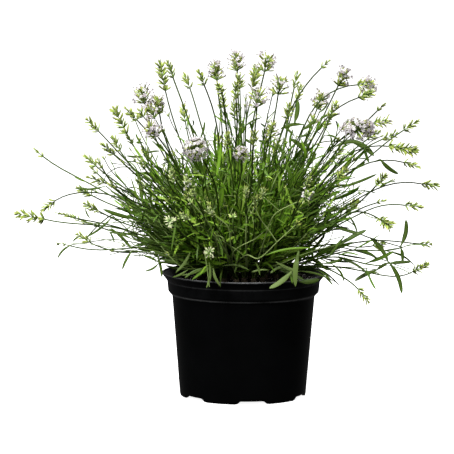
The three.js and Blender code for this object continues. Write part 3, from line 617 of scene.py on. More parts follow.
# The studio, in metres, watts, millimetres of lens and degrees
FLOOR_SIZE = 60
FLOOR_VALUES = dict(Base_Color=(0.8, 0.8, 0.8, 1), Roughness=1.0, Specular_IOR_Level=0.0,
                    Emission_Color=(1, 1, 1, 1), Emission_Strength=0.92)
SKY_RANGE = {"From Min": -0.15, "From Max": 0.7, "To Min": 0.07, "To Max": 0.62}
LIGHT_TARGET = (0, 0, 0.17)
LIGHTS = (("key", (-0.7, -1.6, 1.7), 0.7, 74), ("top", (0.2, 0.5, 1.7), 0.6, 20))
CAMERA_LENS = 227.1
CAMERA_SENSOR = 36
CAMERA_END = 100
CAMERA_PITCH = 6.59
CAMERA_ROLL = 0.38

# Single leaves that show in front of the rest or stand clear of it. Each is the place of its foot
# and of its tip, across and up as for the sprays, then depth, width, and how far it bows aside.
PLACED_LEAVES = [
    (143.4, 138.0, 147.9, 163.0, -45, 4.1, 2.2),
    (143.4, 137.0, 145.2, 123.4, -45, 3.2, -0.9),
    (115.2, 145.8, 132.4, 123.6, -40, 4.0, -2.0),
    (132.4, 123.8, 145.2, 93.5, -55, 4.0, -2.8),
    (131.9, 121.9, 153.4, 123.5, -55, 3.2, -0.5),
    (122.8, 116.4, 101.3, 105.4, -55, 3.8, 1.0),
    (132.9, 122.9, 121.8, 116.1, -55, 3.2, 0.4),
    (89.0, 139.5, 112.4, 152.8, -70, 4.0, -1.0),
    (96.5, 234.0, 118.2, 220.4, -30, 5.3, -2.5),
    (123.7, 217.7, 140.9, 204.1, -30, 4.0, 1.5),
    (54.0, 248.9, 32.2, 244.5, -60, 3.1, 2.0),
    (45.2, 250.1, 48.1, 271.5, -60, 4.2, 1.0),
    (84.5, 190.5, 121.8, 204.6, -30, 2.6, 1.0),
    (96.6, 214.2, 113.0, 229.9, -20, 2.8, 1.0),
    (-126.3, 191.6, -155.5, 189.5, -60, 2.0, -2.0),
    (-98.3, 161.4, -129.3, 170.4, -90, 3.7, -1.0),
    (-102.4, 173.3, -122.6, 187.4, -80, 2.3, 1.0),
    (-119.7, 164.0, -143.8, 144.5, -70, 2.2, -1.5),
    (-157.0, 137.5, -170.6, 124.3, -65, 2.0, 2.0),
    (-121.3, 152.8, -101.8, 133.0, -95, 2.8, -1.0),
    (-101.7, 132.8, -111.3, 114.4, -95, 2.4, 1.0),
    (-77.6, 121.0, -90.8, 113.3, -89, 2.0, -1.5),
    (-78.3, 121.9, -92.0, 127.8, -90, 2.3, 0.8),
    (-92.0, 127.6, -102.1, 127.4, -90, 1.0, 0.5),
    (-52.0, 118.0, -76.0, 124.5, -62, 3.0, 1.0),
    (-50.0, 115.4, -72.0, 119.0, -55, 2.6, -1.0),
    (-58.0, 121.0, -82.0, 131.0, -58, 2.8, 1.0),
    (-47.0, 117.0, -66.0, 127.5, -70, 2.4, 1.0),
    (-60.0, 119.5, -79.0, 122.0, -50, 2.2, 0.6),
    (-79.2, 127.5, -75.0, 107.7, -88, 2.6, -1.0),
    (-100.3, 142.0, -124.2, 149.2, -100, 1.9, 1.5),
    (-31.7, 122.3, -34.0, 98.1, -92, 2.3, -2.0),
    (-28.0, 116.8, -21.0, 99.8, -93, 2.6, 1.5),
    (44.1, 114.2, 23.3, 98.3, -96, 4.4, -1.5),
    (50.3, 132.9, 47.6, 99.8, -98, 4.6, 1.5),
    (50.7, 104.9, 69.5, 107.0, -62, 4.5, 1.0),
    (50.0, 114.6, 83.6, 104.6, -77, 1.9, -2.3),
    (73.4, 110.4, 81.8, 101.4, -77, 1.8, -0.5),
    (29.6, 122.7, 51.6, 113.6, -90, 2.6, 1.0),
    (-49.1, 131.3, -61.8, 112.9, -80, 2.4, -1.5),
    (14.5, 126.9, 62.8, 135.8, -106, 1.8, -3.0),
    (52.2, 243.7, 65.4, 254.1, -50, 3.1, 0.5),
    (82.5, 229.0, 109.8, 230.6, -45, 4.0, -4.0),
    (72.9, 239.3, 86.2, 235.0, -40, 1.8, -1.5),
    (109.0, 229.2, 113.5, 214.4, -35, 2.6, 0.5),
    (52.3, 233.3, 57.5, 219.9, -50, 2.7, 0.5),
    (-156.8, 139.6, -149.7, 145.3, -66, 1.6, -0.8),
    (-145.0, 171.1, -140.6, 161.8, -60, 1.6, 0.8),
    (-93.1, 175.8, -97.6, 204.3, -80, 3.4, 0.8),
    (-118.4, 139.8, -122.8, 149.8, -70, 1.8, 0.5),
    (84.5, 154.2, 104.0, 148.6, -70, 3.0, -0.8),
    (95.1, 166.3, 103.9, 149.0, -65, 1.9, -1.3),
    (81.4, 167.1, 87.4, 160.3, -65, 1.8, 0.3),
    (87.4, 159.9, 102.3, 178.3, -62, 2.4, 0.8),
    (92.0, 147.0, 78.0, 127.6, -75, 2.5, 0.5),
    (71.6, 121.6, 93.1, 127.7, -62, 2.5, 1.5),
    (81.7, 120.2, 92.3, 104.2, -62, 1.9, -2.2),
    (-49.9, 121.3, -62.4, 111.7, -72, 1.8, 1.2),
    (-35.4, 117.7, -56.5, 109.8, -76, 1.8, -1.5),
    (-19.0, 118.8, 5.1, 115.0, -78, 1.7, -2.5),
    (22.5, 115.2, 7.0, 113.1, -76, 1.6, 1.0),
    (-2.6, 121.8, -8.4, 112.1, -78, 1.8, 1.0),
    (10.9, 121.9, 14.8, 110.3, -78, 1.6, -0.8),
    (37.9, 119.2, 24.4, 112.3, -78, 2.1, 1.2),
    (-37.0, 116.5, -54.0, 107.1, -84, 1.9, 1.5),
    (-51.2, 115.0, -65.4, 107.8, -80, 1.8, -1.0),
    (-0.9, 251.2, -12.7, 256.3, -30, 1.9, -0.8),
    (-0.8, 245.8, 15.4, 255.1, -30, 1.7, -1.4),
    (21.4, 243.4, 14.1, 249.9, -25, 1.8, 0.5),
    (44.3, 239.0, 35.1, 247.4, -35, 2.2, 0.6),
    (68.5, 254.1, 75.4, 257.6, -25, 2.6, -0.5),
    (47.5, 237.7, 61.2, 241.3, -35, 2.0, 0.6),
    (55.4, 223.9, 42.3, 235.6, -40, 4.2, 1.2),
    (58.7, 225.6, 54.7, 231.6, -30, 3.0, 0.8),
    (21.5, 230.9, 12.3, 234.1, -35, 2.4, 0.4),
    (5.7, 231.4, -0.1, 235.3, -35, 2.4, 0.4),
    (27.9, 237.6, 33.7, 240.8, -35, 1.5, -0.6),
    (32.6, 225.1, 21.5, 230.9, -35, 2.4, -0.5),
    (-13.3, 249.7, -17.9, 258.9, -25, 1.5, -0.4),
    (-16.6, 247.8, -21.8, 254.3, -25, 1.5, 0.3),
    (61.5, 214.9, 63.9, 224.5, -40, 3.4, 0.5),
    (30.0, 213.2, 37.1, 223.8, -45, 2.6, 0.5),
    (-40.4, 235.5, -36.3, 251.3, -20, 2.0, 0.8),
    (-42.6, 237.0, -51.9, 252.7, -20, 2.4, -0.6),
    (-92.3, 220.5, -76.7, 223.9, -40, 1.8, -1.0),
    (-92.3, 218.7, -107.9, 219.4, -40, 2.0, -0.6),
]

# Stems that show by themselves: points across, up and depth from the crown outwards, the radius,
# what stands at the end, and how light it is, which is painted light and shade: mostly lighter for
# stems in front and darker for those out at the sides and back
PLACED_STEMS = [
    (((-7.0, 122.4, -60), (3.0, 128.9, -95), (14.5, 126.2, -105),
      (31.3, 142.0, -112), (47.0, 156.8, -118)), 0.55, 3.0, 1.0),
    (((-10.6, 118.7, -55), (-13.4, 126.1, -85), (-19.9, 137.0, -105), (-25.9, 149.9, -118)), 0.6, 0, 0.8),
    (((3.1, 118.8, -60), (2.0, 142.7, -90), (2.3, 165.7, -104), (1.4, 186.9, -112)), 0.8, 4.0, 0.9),
    (((2.8, 166.6, -104), (5.5, 173.1, -106), (9.7, 179.6, -108)), 0.5, 3.0, 0.9),
    (((2.5, 159.3, -102), (10.0, 174.0, -106), (17.3, 187.0, -110)), 0.5, 3.0, 0.9),
    (((22.3, 117.1, -60), (37.8, 122.7, -85), (60.6, 132.1, -92), (89.0, 139.5, -70)), 0.5, 0, 0.7),
    (((40.0, 122.8, -40), (62.0, 133.0, -60), (86.0, 136.6, -54), (106.0, 132.4, -52),
      (132.4, 123.8, -55)), 0.65, 0, 0.1),
    (((42.2, 143.0, -30), (87.9, 153.4, -35), (115.8, 145.3, -40), (144.5, 137.2, -45)), 0.75, 0, 0.1),
    (((132.9, 123.1, -55), (142.9, 119.7, -50), (153.9, 117.0, -45), (160.3, 119.8, -42)), 0.4, 2.0, 0.5),
    (((-24.5, 147.1, -110), (-18.1, 142.6, -114), (-14.3, 122.4, -90)), 0.55, 0, 0.9),
    (((32.7, 198.1, -40), (64.5, 230.5, -40), (96.5, 234.0, -30)), 0.6, 0, 0.3),
    (((51.2, 170.6, -40), (87.5, 203.1, -35), (123.7, 217.7, -30)), 0.6, 0, 0.3),
    (((-58.3, 142.3, -60), (-104.2, 174.2, -65), (-126.3, 191.6, -60)), 0.65, 0, 0.4),
    (((-58.3, 137.7, -70), (-94.9, 143.9, -68), (-119.7, 164.0, -70)), 0.6, 0, 0.4),
    (((-58.2, 128.5, -60), (-113.1, 142.0, -66), (-157.0, 137.5, -65)), 0.55, 0, 0.4),
    (((-49.0, 122.1, -60), (-85.7, 142.1, -85), (-119.6, 149.3, -95)), 0.6, 0, 0.4),
    (((30.1, 141.1, -112), (22.2, 152.7, -114), (15.7, 161.2, -116), (10.7, 171.2, -118)), 0.5, 1.5, 0.95),
    (((12.0, 121.0, -60), (17.3, 138.2, -98), (24.2, 159.9, -112), (31.3, 169.2, -114),
      (48.3, 177.9, -114)), 0.6, 2.0, 0.9),
    (((31.3, 170.6, -114), (24.1, 177.0, -116), (17.0, 182.7, -118)), 0.45, 2.0, 0.85),
    (((-6.1, 121.4, -80), (-11.6, 136.7, -104), (-13.1, 149.6, -112), (-16.0, 156.7, -116),
      (-26.6, 165.3, -120), (-31.0, 173.0, -122)), 0.55, 3.0, 0.9),
    (((-21.6, 121.5, -70), (-24.4, 139.5, -100), (-31.6, 156.6, -116), (-40.2, 168.0, -124),
      (-51.0, 180.1, -130)), 0.65, 3.5, 1.0),
    (((-36.0, 132.0, -88), (-35.0, 126.6, -92), (-32.7, 110.8, -93), (-31.2, 99.3, -92)), 0.6, 0, 0.8),
    (((-60.0, 124.0, -60), (-85.6, 130.7, -72), (-114.1, 133.4, -80), (-142.5, 138.2, -80),
      (-168.9, 138.0, -78)), 0.4, 1.0, 0.7),
    (((-60.0, 128.0, -60), (-85.7, 132.8, -70), (-121.3, 141.2, -72), (-142.6, 144.6, -70)), 0.4, 0, 0.7),
    (((-62.0, 146.0, -60), (-90.4, 158.7, -66), (-122.8, 157.6, -70), (-145.5, 157.5, -70),
      (-159.8, 163.8, -66)), 0.45, 1.5, 0.6),
    (((-62.0, 140.0, -60), (-90.0, 156.0, -64), (-115.8, 165.6, -66), (-129.9, 158.3, -66),
      (-144.0, 144.0, -66)), 0.75, 0, 0.15),
    (((-62.0, 124.0, -60), (-85.6, 129.3, -66), (-105.6, 132.0, -70), (-122.7, 128.4, -70)), 0.5, 0, 0.3),
    (((-40.0, 116.0, -60), (-55.4, 117.0, -74), (-67.3, 126.6, -76), (-76.6, 137.6, -72),
      (-87.6, 148.5, -66)), 0.5, 0, 0.75),
    (((-70.0, 180.0, -55), (-95.0, 204.0, -60), (-111.8, 209.1, -60), (-124.7, 202.9, -60),
      (-129.0, 193.4, -58)), 0.5, 0, 0.2),
]

# Spikes that only the finer model has: the place of the tip, how far it leans to the right, in
# degrees, how long it and its bare stem are, and its look
PLACED_SPIKES = [
    (-67.9, 206.8, -120, -15, 9.0, 22, "front"),
    (-53.2, 201.4, -125, -10, 7.5, 26, "front"),
    (-47.6, 191.3, -132, 8, 5.0, 22, "front"),
    (-51.2, 183.0, -138, -20, 4.0, 26, "pale"),
    (-56.6, 170.1, -140, 12, 5.0, 20, "pale"),
    (-31.1, 175.0, -140, 20, 4.0, 24, "front"),
    (-10.2, 168.2, -140, 0, 1.5, 14, "pale"),
    (-5.4, 296.5, -10, -3, 12.0, 40, "faint"),
    (-88.5, 266.2, -10, -28, 11.0, 34, "bloom"),
    (-98.0, 262.0, -30, -40, 6.0, 20, "faint"),
    (63.5, 258.0, -40, 18, 7.0, 40, "faint"),
]


def smooth(x):
    x = np.clip(x, 0, 1)
    return x * x * (3 - 2 * x)


def unit(v):
    return v / np.linalg.norm(v)


def units(rows):
    return rows / np.linalg.norm(rows, axis=-1, keepdims=True)


def square(way, side):
    """The direction square to a way that is nearest to the given side."""
    return unit(side - way * side.dot(way))


def turned(across, upper, angle):
    """The direction at an angle from across toward upper."""
    return across * np.cos(angle) + upper * np.sin(angle)


def level_way(angle):
    return np.array([math.cos(angle), math.sin(angle), 0.0])


class Draw:
    """A seeded draw, the same as in the part's source."""

    def __init__(self, seed):
        self.state = seed

    def __call__(self, low, high):
        self.state = (self.state * DRAW_FACTOR) % DRAW_RANGE
        return low + (high - low) * (self.state / DRAW_RANGE)


# Where the stems go: the same plan as the solids'

def soil_top(x, y):
    from_middle = np.minimum(np.hypot(x, y) / (LIP_FOOT_RADIUS - POT_WALL), 1)
    large = np.sin(LUMP_WAVES[0] * x + LUMP_SHIFTS[0]) * np.cos(LUMP_WAVES[1] * y + LUMP_SHIFTS[1])
    small = SMALL_LUMP_SHARE * np.sin(LUMP_WAVES[2] * (x - y))
    mound = SOIL_MOUND * (1 - from_middle * from_middle)
    return SOIL_EDGE_HEIGHT + mound + SOIL_BUMPS * (large + small) * (1 - from_middle)


def sighted(across, up, depth):
    """The point that is seen across and up in the picture, at a given depth."""
    return EYE + (np.array([across, 0.0, up]) - EYE) * (1 - depth / EYE[1])


def find_roots():
    """The foot of each spray leans the way its stems go, and no two stand too close."""
    roots = []
    for stems in SPRAYS:
        ways = [unit(sighted(*stem[1:4]) - CROWN) for stem in stems]
        roots.append((sum(ways) / len(ways) * CROWN_REACH)[:2])
    for _ in range(SPACING_PASSES):
        for i in range(len(roots)):
            for j in range(i + 1, len(roots)):
                apart = roots[j] - roots[i]
                distance = math.hypot(*apart)
                push = (ROOT_SPACING - distance) / 2
                if push > 0:
                    roots[i] = roots[i] - apart * (push / distance)
                    roots[j] = roots[j] + apart * (push / distance)
    return [np.array([x, y, soil_top(x, y)]) for x, y in roots]


class Path:
    """A cubic curve from a stem's foot to its neck."""

    def __init__(self, *knots):
        self.knots = np.array(knots)

    def point(self, t):
        t = np.asarray(t, float)[..., None]
        a, b, c, d = self.knots
        u = 1 - t
        return u**3 * a + 3 * u * u * t * b + 3 * u * t * t * c + t**3 * d

    def tangent(self, t):
        t = np.asarray(t, float)[..., None]
        a, b, c, d = self.knots
        u = 1 - t
        return units(u * u * (b - a) + 2 * u * t * (c - b) + t * t * (d - c))

    def length(self):
        steps = self.point(np.linspace(0, 1, PATH_STEPS))
        return float(np.linalg.norm(np.diff(steps, axis=0), axis=1).sum())


def spike_height(kind):
    return kind["whorls"] * WHORL_PITCH + TIP_LENGTH + (WHORL_GAP if kind["apart"] else 0)


class Branch:
    """One stem or shoot: its path, the way that its tip points, and the level way across it."""

    def __init__(self, root, tip, droop, tip_span, sway_share, draw):
        line = tip - root
        level = unit(np.array([line[0], line[1], 0.0]))
        rise = math.atan2(line[2], math.hypot(line[0], line[1]))
        start_rise = LEAST_START_RISE + START_RISE_SHARE * rise
        end_rise = rise - math.radians(droop)
        start = turned(level, UP, start_rise)
        self.end = turned(level, UP, end_rise)
        self.side = np.array([level[1], -level[0], 0.0])
        neck = tip - self.end * tip_span
        span = float(np.linalg.norm(neck - root))
        sway = draw(-sway_share, sway_share) * span
        near_root = root + start * (span / 3) + self.side * sway
        near_neck = neck - self.end * (span / 3) + self.side * (sway / 2)
        self.path = Path(root, near_root, near_neck, neck)
        self.kind = None
        self.leaves = []
        self.end_leaf = None

    def sides(self):
        return self.kind["sides"] if self.kind else SHOOT_SIDES


class Limbs:
    """What stands in the way of later leaves and stems."""

    def __init__(self):
        self.rows = []
        self.table = None

    def add(self, start, end, radius, spray, stem):
        self.rows.append([*start, *(end - start), radius, spray, stem])
        self.table = None

    def distances(self, points):
        """How far each point lies from each limb's middle line."""
        if self.table is None:
            self.table = np.array(self.rows)
        start, line = self.table[:, :3], self.table[:, 3:6]
        away = points[:, None] - start
        share = np.clip((away * line).sum(2) / (line * line).sum(1), 0, 1)
        return np.linalg.norm(away - share[..., None] * line, axis=2)

    def columns(self):
        return self.table[:, 6], self.table[:, 7], self.table[:, 8]


def stem_is_clear(branch, kind, spray, limbs):
    if not limbs.rows:
        return True
    shares = np.arange(STEM_SAMPLES + 1) / STEM_SAMPLES
    points = branch.path.point(shares)
    reach = np.full(len(points), ROOT_STEM_RADIUS)
    near_foot = np.arange(len(points)) < STEM_SAMPLES * SHARED_FOOT_SHARE
    if kind:
        heights = np.arange(1, SPIKE_SAMPLES + 1) / SPIKE_SAMPLES * spike_height(kind)
        spike = branch.path.point(1) + heights[:, None] * branch.end
        points = np.vstack([points, spike])
        reach = np.append(reach, np.full(len(spike), kind["reach"]))
        near_foot = np.append(near_foot, np.zeros(len(spike), bool))
    distances = limbs.distances(points)
    radius, limb_spray, _ = limbs.columns()
    own = limb_spray == spray
    room = reach[:, None] + radius + np.where(own, 0, STEM_GAP)
    return bool(np.all((distances > room) | (own & near_foot[:, None])))


class Leaf:
    """A narrow blade that leaves its stem at an angle to the tangent and sags a little."""

    def __init__(self, at, tangent, outward, opening, length, width, sag):
        self.at, self.length, self.width, self.sag = at, length, width, sag
        self.direction = unit(turned(tangent, outward, opening))
        self.across = unit(np.cross(tangent, outward))

    def point(self, s):
        s = np.asarray(s, float)[..., None]
        points = self.at + s * self.length * self.direction
        return points - UP * s * s * self.length * self.sag


def clear_of_pot(points):
    from_middle = np.hypot(points[:, 0], points[:, 1])
    over_soil = points[:, 2] > soil_top(points[:, 0], points[:, 1]) + POT_CLEARANCE
    beyond = (from_middle > POT_TOP_RADIUS + POT_CLEARANCE) | (points[:, 2] > POT_HEIGHT + POT_CLEARANCE)
    return bool(np.all(np.where(from_middle < LIP_FOOT_RADIUS - POT_CLEARANCE, over_soil, beyond)))


def leaf_is_clear(leaf, spray, stem, limbs):
    points = leaf.point(LEAF_SAMPLES)
    if not clear_of_pot(points):
        return False
    widening = LEAF_FOOT_SHARE + (1 - LEAF_FOOT_SHARE) * (LEAF_SAMPLES / LEAF_WIDEST)
    narrowing = (1 - LEAF_SAMPLES) / (1 - LEAF_WIDEST)
    reach = leaf.width / 2 * np.minimum(widening, narrowing) + LEAF_GAP
    distances = limbs.distances(points)
    radius, limb_spray, limb_stem = limbs.columns()
    free = (limb_spray == spray) & ((limb_stem == stem) | (LEAF_SAMPLES < FREE_LEAF_SHARE)[:, None])
    return bool(np.all(free | (distances > reach[:, None] + radius)))


def claim_leaf(leaf, spray, stem, limbs):
    foot, middle, tip = leaf.point([0, LEAF_WIDEST, 1])
    limbs.add(foot, middle, leaf.width / 2, spray, stem)
    limbs.add(middle, tip, leaf.width / 2, spray, stem)


def place_leaf(branch, t, face, scale, draw, spray, stem, limbs):
    """The first of a few tries at a leaf out of one side of its stem that is clear."""
    sides = branch.sides()
    tangent = branch.path.tangent(t)
    across = square(tangent, branch.side)
    normal = turned(across, np.cross(tangent, across), 2 * math.pi * (face + 0.5) / sides)
    at = branch.path.point(t) + normal * (ROOT_STEM_RADIUS * math.cos(math.pi / sides))
    for _ in range(LEAF_ATTEMPTS):
        opening = draw(*LEAF_OPENING)
        length = scale * draw(*LEAF_LENGTH)
        width = draw(*LEAF_WIDTH)
        leaf = Leaf(at, tangent, normal, opening, length, width, draw(*LEAF_SAG))
        if leaf_is_clear(leaf, spray, stem, limbs):
            claim_leaf(leaf, spray, stem, limbs)
            leaf.place = t
            return leaf
    return None


def place_end_leaf(branch, draw, spray, stem, limbs):
    way = branch.path.tangent(1)
    upward = np.cross(way, square(way, branch.side))
    scale = END_LEAF_SCALE
    while scale > LEAST_END_LEAF_SCALE:
        length = scale * draw(*LEAF_LENGTH)
        width = scale * draw(*LEAF_WIDTH)
        tilt = draw(-END_LEAF_TILT, END_LEAF_TILT)
        leaf = Leaf(branch.path.point(1), way, upward, tilt, length, width, draw(*LEAF_SAG))
        if leaf_is_clear(leaf, spray, stem, limbs):
            break
        scale *= END_LEAF_SHRINK
    claim_leaf(leaf, spray, stem, limbs)
    return leaf


def shoot_tip(stems, draw):
    ways = [unit(sighted(*stem[1:4]) - CROWN) for stem in stems]
    tip = CROWN + unit(sum(ways)) * draw(*SHOOT_REACH)
    tip[0] += draw(-SHOOT_SPREAD, SHOOT_SPREAD)
    tip[1] += draw(-SHOOT_SPREAD, SHOOT_SPREAD)
    tip[2] = max(tip[2] + draw(-SHOOT_LIFT, SHOOT_LIFT), LOWEST_SHOOT_TIP)
    return tip


def branch_feet(root, tips):
    """The feet of a spray's stems, evenly round the top of its woody stem."""
    ways = [unit(tip - root) for tip in tips]
    mean = sum(ways) / len(ways)
    leans = [math.atan2(way[1] - mean[1], way[0] - mean[0]) for way in ways]
    ordered = sorted(leans)
    step = 2 * math.pi / len(leans)
    turn = sum(lean - step * rank for rank, lean in enumerate(ordered)) / len(leans)
    feet = []
    for lean in leans:
        angle = turn + step * ordered.index(lean)
        feet.append(root + BRANCH_SPREAD * level_way(angle) + FOOT_LIFT)
    return feet


def plan_spray(stems, root, spray, limbs):
    draw = Draw(FIRST_SEED + SEED_STEP * spray)
    targets = [(KINDS.get(name), sighted(across, up, depth), droop)
               for name, across, up, depth, droop in stems]
    if all(kind for kind, _, _ in targets):
        targets.append((None, shoot_tip(stems, draw), 0))
    feet = branch_feet(root, [tip for _, tip, _ in targets])
    branches = []
    for stem, (kind, tip, droop) in enumerate(targets):
        span = spike_height(kind) if kind else 0
        line_of_sight = unit(tip - EYE)
        for attempt in range(SWAY_TRIES):
            sway = (STEM_SWAY if kind else SHOOT_SWAY) * (1 + SWAY_GROWTH * attempt)
            shifted = tip + line_of_sight * (attempt * draw(-TIP_SHIFT, TIP_SHIFT))
            branch = Branch(feet[stem], shifted, droop, span, sway, draw)
            if stem_is_clear(branch, kind, spray, limbs):
                break
        branch.kind = kind
        claim_stem(branch, spray, stem, limbs)
        branches.append(branch)
    return dict(branches=branches, draw=draw)


def claim_stem(branch, spray, stem, limbs):
    points = branch.path.point(np.arange(LIMB_STEPS + 1) / LIMB_STEPS)
    for start, end in zip(points, points[1:]):
        limbs.add(start, end, ROOT_STEM_RADIUS, spray, stem)
    if branch.kind:
        top = points[-1] + branch.end * spike_height(branch.kind)
        limbs.add(points[-1], top, branch.kind["reach"], spray, stem)


def grow_leaves(plan, spray, limbs):
    draw = plan["draw"]
    for stem, branch in enumerate(plan["branches"]):
        kind = branch.kind
        if not kind:
            branch.end_leaf = place_end_leaf(branch, draw, spray, stem, limbs)
        places = [draw(*STEM_LEAF_PLACE)] if kind else SHOOT_LEAF_PLACES
        scale = STEM_LEAF_SCALE if kind else SHOOT_LEAF_SCALE
        turn = math.floor(draw(0, kind["sides"])) if kind else 0
        branch.places = places
        for step, t in enumerate(places):
            for face in leaf_faces(branch.sides(), turn + step):
                leaf = place_leaf(branch, t, face, scale, draw, spray, stem, limbs)
                if leaf:
                    branch.leaves.append(leaf)


def leaf_faces(sides, turn):
    return [turn % 4, (turn + 2) % 4] if sides == 4 else [turn % sides]


# Meshes

class Build:
    """Points and faces of one mesh. tint varies a piece's colour, and line marks a part of it."""

    def __init__(self):
        self.points, self.faces, self.tints, self.lines = [], [], [], []
        self.count = 0

    def add(self, points, faces, tint=0.5, line=0.0):
        self.points.append(points)
        for block in faces:
            self.faces.extend((block + self.count).tolist())
        self.tints.append(np.broadcast_to(tint, len(points)))
        self.lines.append(np.broadcast_to(line, len(points)))
        self.count += len(points)

    def mesh(self, name):
        mesh = bpy.data.meshes.new(name)
        mesh.from_pydata(np.vstack(self.points) * MM, [], self.faces)
        for title, values in (("tint", self.tints), ("line", self.lines)):
            layer = mesh.attributes.new(title, "FLOAT", "POINT")
            layer.data.foreach_set("value", np.concatenate(values).astype(np.float32))
        mesh.polygons.foreach_set("use_smooth", [True] * len(mesh.polygons))
        mesh.set_sharp_from_angle(angle=math.radians(SHARP_EDGE_ANGLE))
        return mesh


def ring_quads(rings, sides):
    """The faces between rings of points, the numbers of a ring's points, and of the next ones."""
    first = np.arange(rings - 1)[:, None] * sides
    here = np.arange(sides)
    after = (here + 1) % sides
    corners = [first + here, first + after, first + sides + after, first + sides + here]
    return np.stack(corners, axis=2).reshape(-1, 4), here, after


@lru_cache(maxsize=None)
def tube_faces(rings, sides, pointed):
    """Blocks of faces of a closed tube of rings, whose last point is its tip if it is pointed."""
    quads, here, after = ring_quads(rings, sides)
    last = (rings - 1) * sides
    end = last + here[None]
    if pointed:
        end = np.stack([last + here, last + after, np.full(sides, rings * sides)], axis=1)
    return quads, here[None, ::-1], end


def skin(build, points, side, upper, shape, tip=None, tint=0.5, line=0.0):
    """A closed tube about points. shape holds each ring's corners, along side and along upper."""
    corners = (points[:, None] + shape[..., :1] * side + shape[..., 1:] * upper).reshape(-1, 3)
    if tip is not None:
        corners = np.vstack([corners, tip])
    build.add(corners, tube_faces(len(points), shape.shape[1], tip is not None), tint, line)


def sweep(build, points, across, shape, tip=None, tint=0.5, line=0.0):
    """A skin whose rings stand square to the line through the points."""
    tangents = units(np.gradient(points, axis=0))
    side = units(across - tangents * (tangents * across).sum(1, keepdims=True))
    upper = np.cross(tangents, side)
    skin(build, points, side[:, None], upper[:, None], shape, tip, tint, line)


def ring_shape(radii, sides, turn=0.0, ribs=0.0):
    """Round or ribbed rings of the given radii."""
    angles = turn + 2 * math.pi * np.arange(sides) / sides
    ribbed = 1 - ribs * (np.arange(sides) % 2)
    circle = np.stack([np.cos(angles) * ribbed, np.sin(angles) * ribbed], axis=1)
    return np.asarray(radii, float)[:, None, None] * circle[None]


def leaf_outline(s):
    """Half the width along a leaf, as a share of the widest."""
    foot = LEAF_FOOT_WIDTH + (1 - LEAF_FOOT_WIDTH) * smooth(s / LEAF_WHOLE_FROM)
    along = np.clip(s - LEAF_NARROWS_FROM, 0, 1) / (1 - LEAF_NARROWS_FROM)
    return foot * np.sqrt(np.clip(1 - along**LEAF_TIP_POWER, 0, 1))


def leaf_mesh(build, points, across, width, tint):
    """A leaf along points, the last of which is its tip."""
    outline = leaf_outline(np.linspace(0, 1, len(points))[:-1])
    shape = LEAF_CORNERS[None] * (outline * width / 2)[:, None, None]
    shape[:, -1, 1] -= LEAF_KEEL * np.clip(outline, LEAST_KEEL, 1)
    line = np.append(np.tile(LEAF_LINES, len(outline)), LEAF_TIP_LINE)
    sweep(build, points[:-1], across, shape, points[-1], tint, line)


def leaf_tint(points, draw):
    """Leaves low beside the pot or over its rim are given darker tints than the rest, as painted shade."""
    middle = points[len(points) // 2]
    beside = abs(middle[0]) > SIDE_LEAF_REACH and middle[2] < SIDE_LEAF_HEIGHT
    over_rim = middle[1] < FRONT_LEAF_DEPTH and middle[2] < RIM_LEAF_HEIGHT
    return draw(*SHADED_SIDE_TINTS) if beside or over_rim else draw(0, 1)


def add_leaf(build, leaf, draw, sections=LEAF_SECTIONS):
    """The finer form of a leaf: it also bows a little to one side and twists."""
    shares = np.linspace(0, 1, sections + 1)
    upper = np.cross(leaf.direction, leaf.across)
    arc = np.sin(math.pi * shares) * leaf.length
    bow = leaf.across * (draw(-1, 1) ** 3 * LEAF_BOW) + upper * draw(*LEAF_ARCH)
    points = leaf.point(shares) + np.outer(arc, bow)
    across = turned(leaf.across, upper, draw(*LEAF_TWIST) * shares[:-1, None])
    leaf_mesh(build, points, across, leaf.width, leaf_tint(points, draw))


class Strand:
    """A finer stem: points along it, for what grows on it."""

    def __init__(self, points, side):
        self.points, self.side = points, side
        self.shares = np.linspace(0, 1, len(points))
        self.tangents = units(np.gradient(points, axis=0))

    def value(self, rows, t):
        return np.array([np.interp(t, self.shares, column) for column in rows.T])

    def point(self, t):
        return self.value(self.points, t)

    def tangent(self, t):
        return unit(self.value(self.tangents, t))

    def outward(self, t, angle):
        """The way out of the stem at an angle round it."""
        tangent = self.tangent(t)
        across = square(tangent, self.side)
        return turned(across, np.cross(tangent, across), angle)


def waved(branch, wave, draw):
    """The strand of a planned branch, waved a little between its ends."""
    shares = np.linspace(0, 1, STEM_POINTS)
    points = branch.path.point(shares)
    reach = wave * branch.path.length() * np.sin(math.pi * shares)
    for way in (branch.side, UP):
        turns = shares * draw(*WAVE_TURNS) + draw(0, 1)
        points = points + np.outer(reach * np.sin(2 * math.pi * turns), way)
    return Strand(points, branch.side)


def stem_mesh(build, strand, radii, tint, nodes=()):
    """A stem between two radii, swollen a little at its nodes."""
    radii = radii[0] + (radii[1] - radii[0]) * strand.shares
    for place in nodes:
        radii = radii + NODE_SWELL * np.exp(-((strand.shares - place) / NODE_SPAN) ** 2)
    lines = strand.shares.repeat(STEM_SIDES)
    sweep(build, strand.points, strand.side, ring_shape(radii, STEM_SIDES), tint=tint, line=lines)


# Flowers

def frame_of(way, hint):
    """Two directions square to a way and to each other."""
    across = unit(np.cross(way, hint))
    return across, np.cross(way, across)


def grown(size):
    """The share of its full width that something of this size has."""
    return WIDTH_KEPT + (1 - WIDTH_KEPT) * size


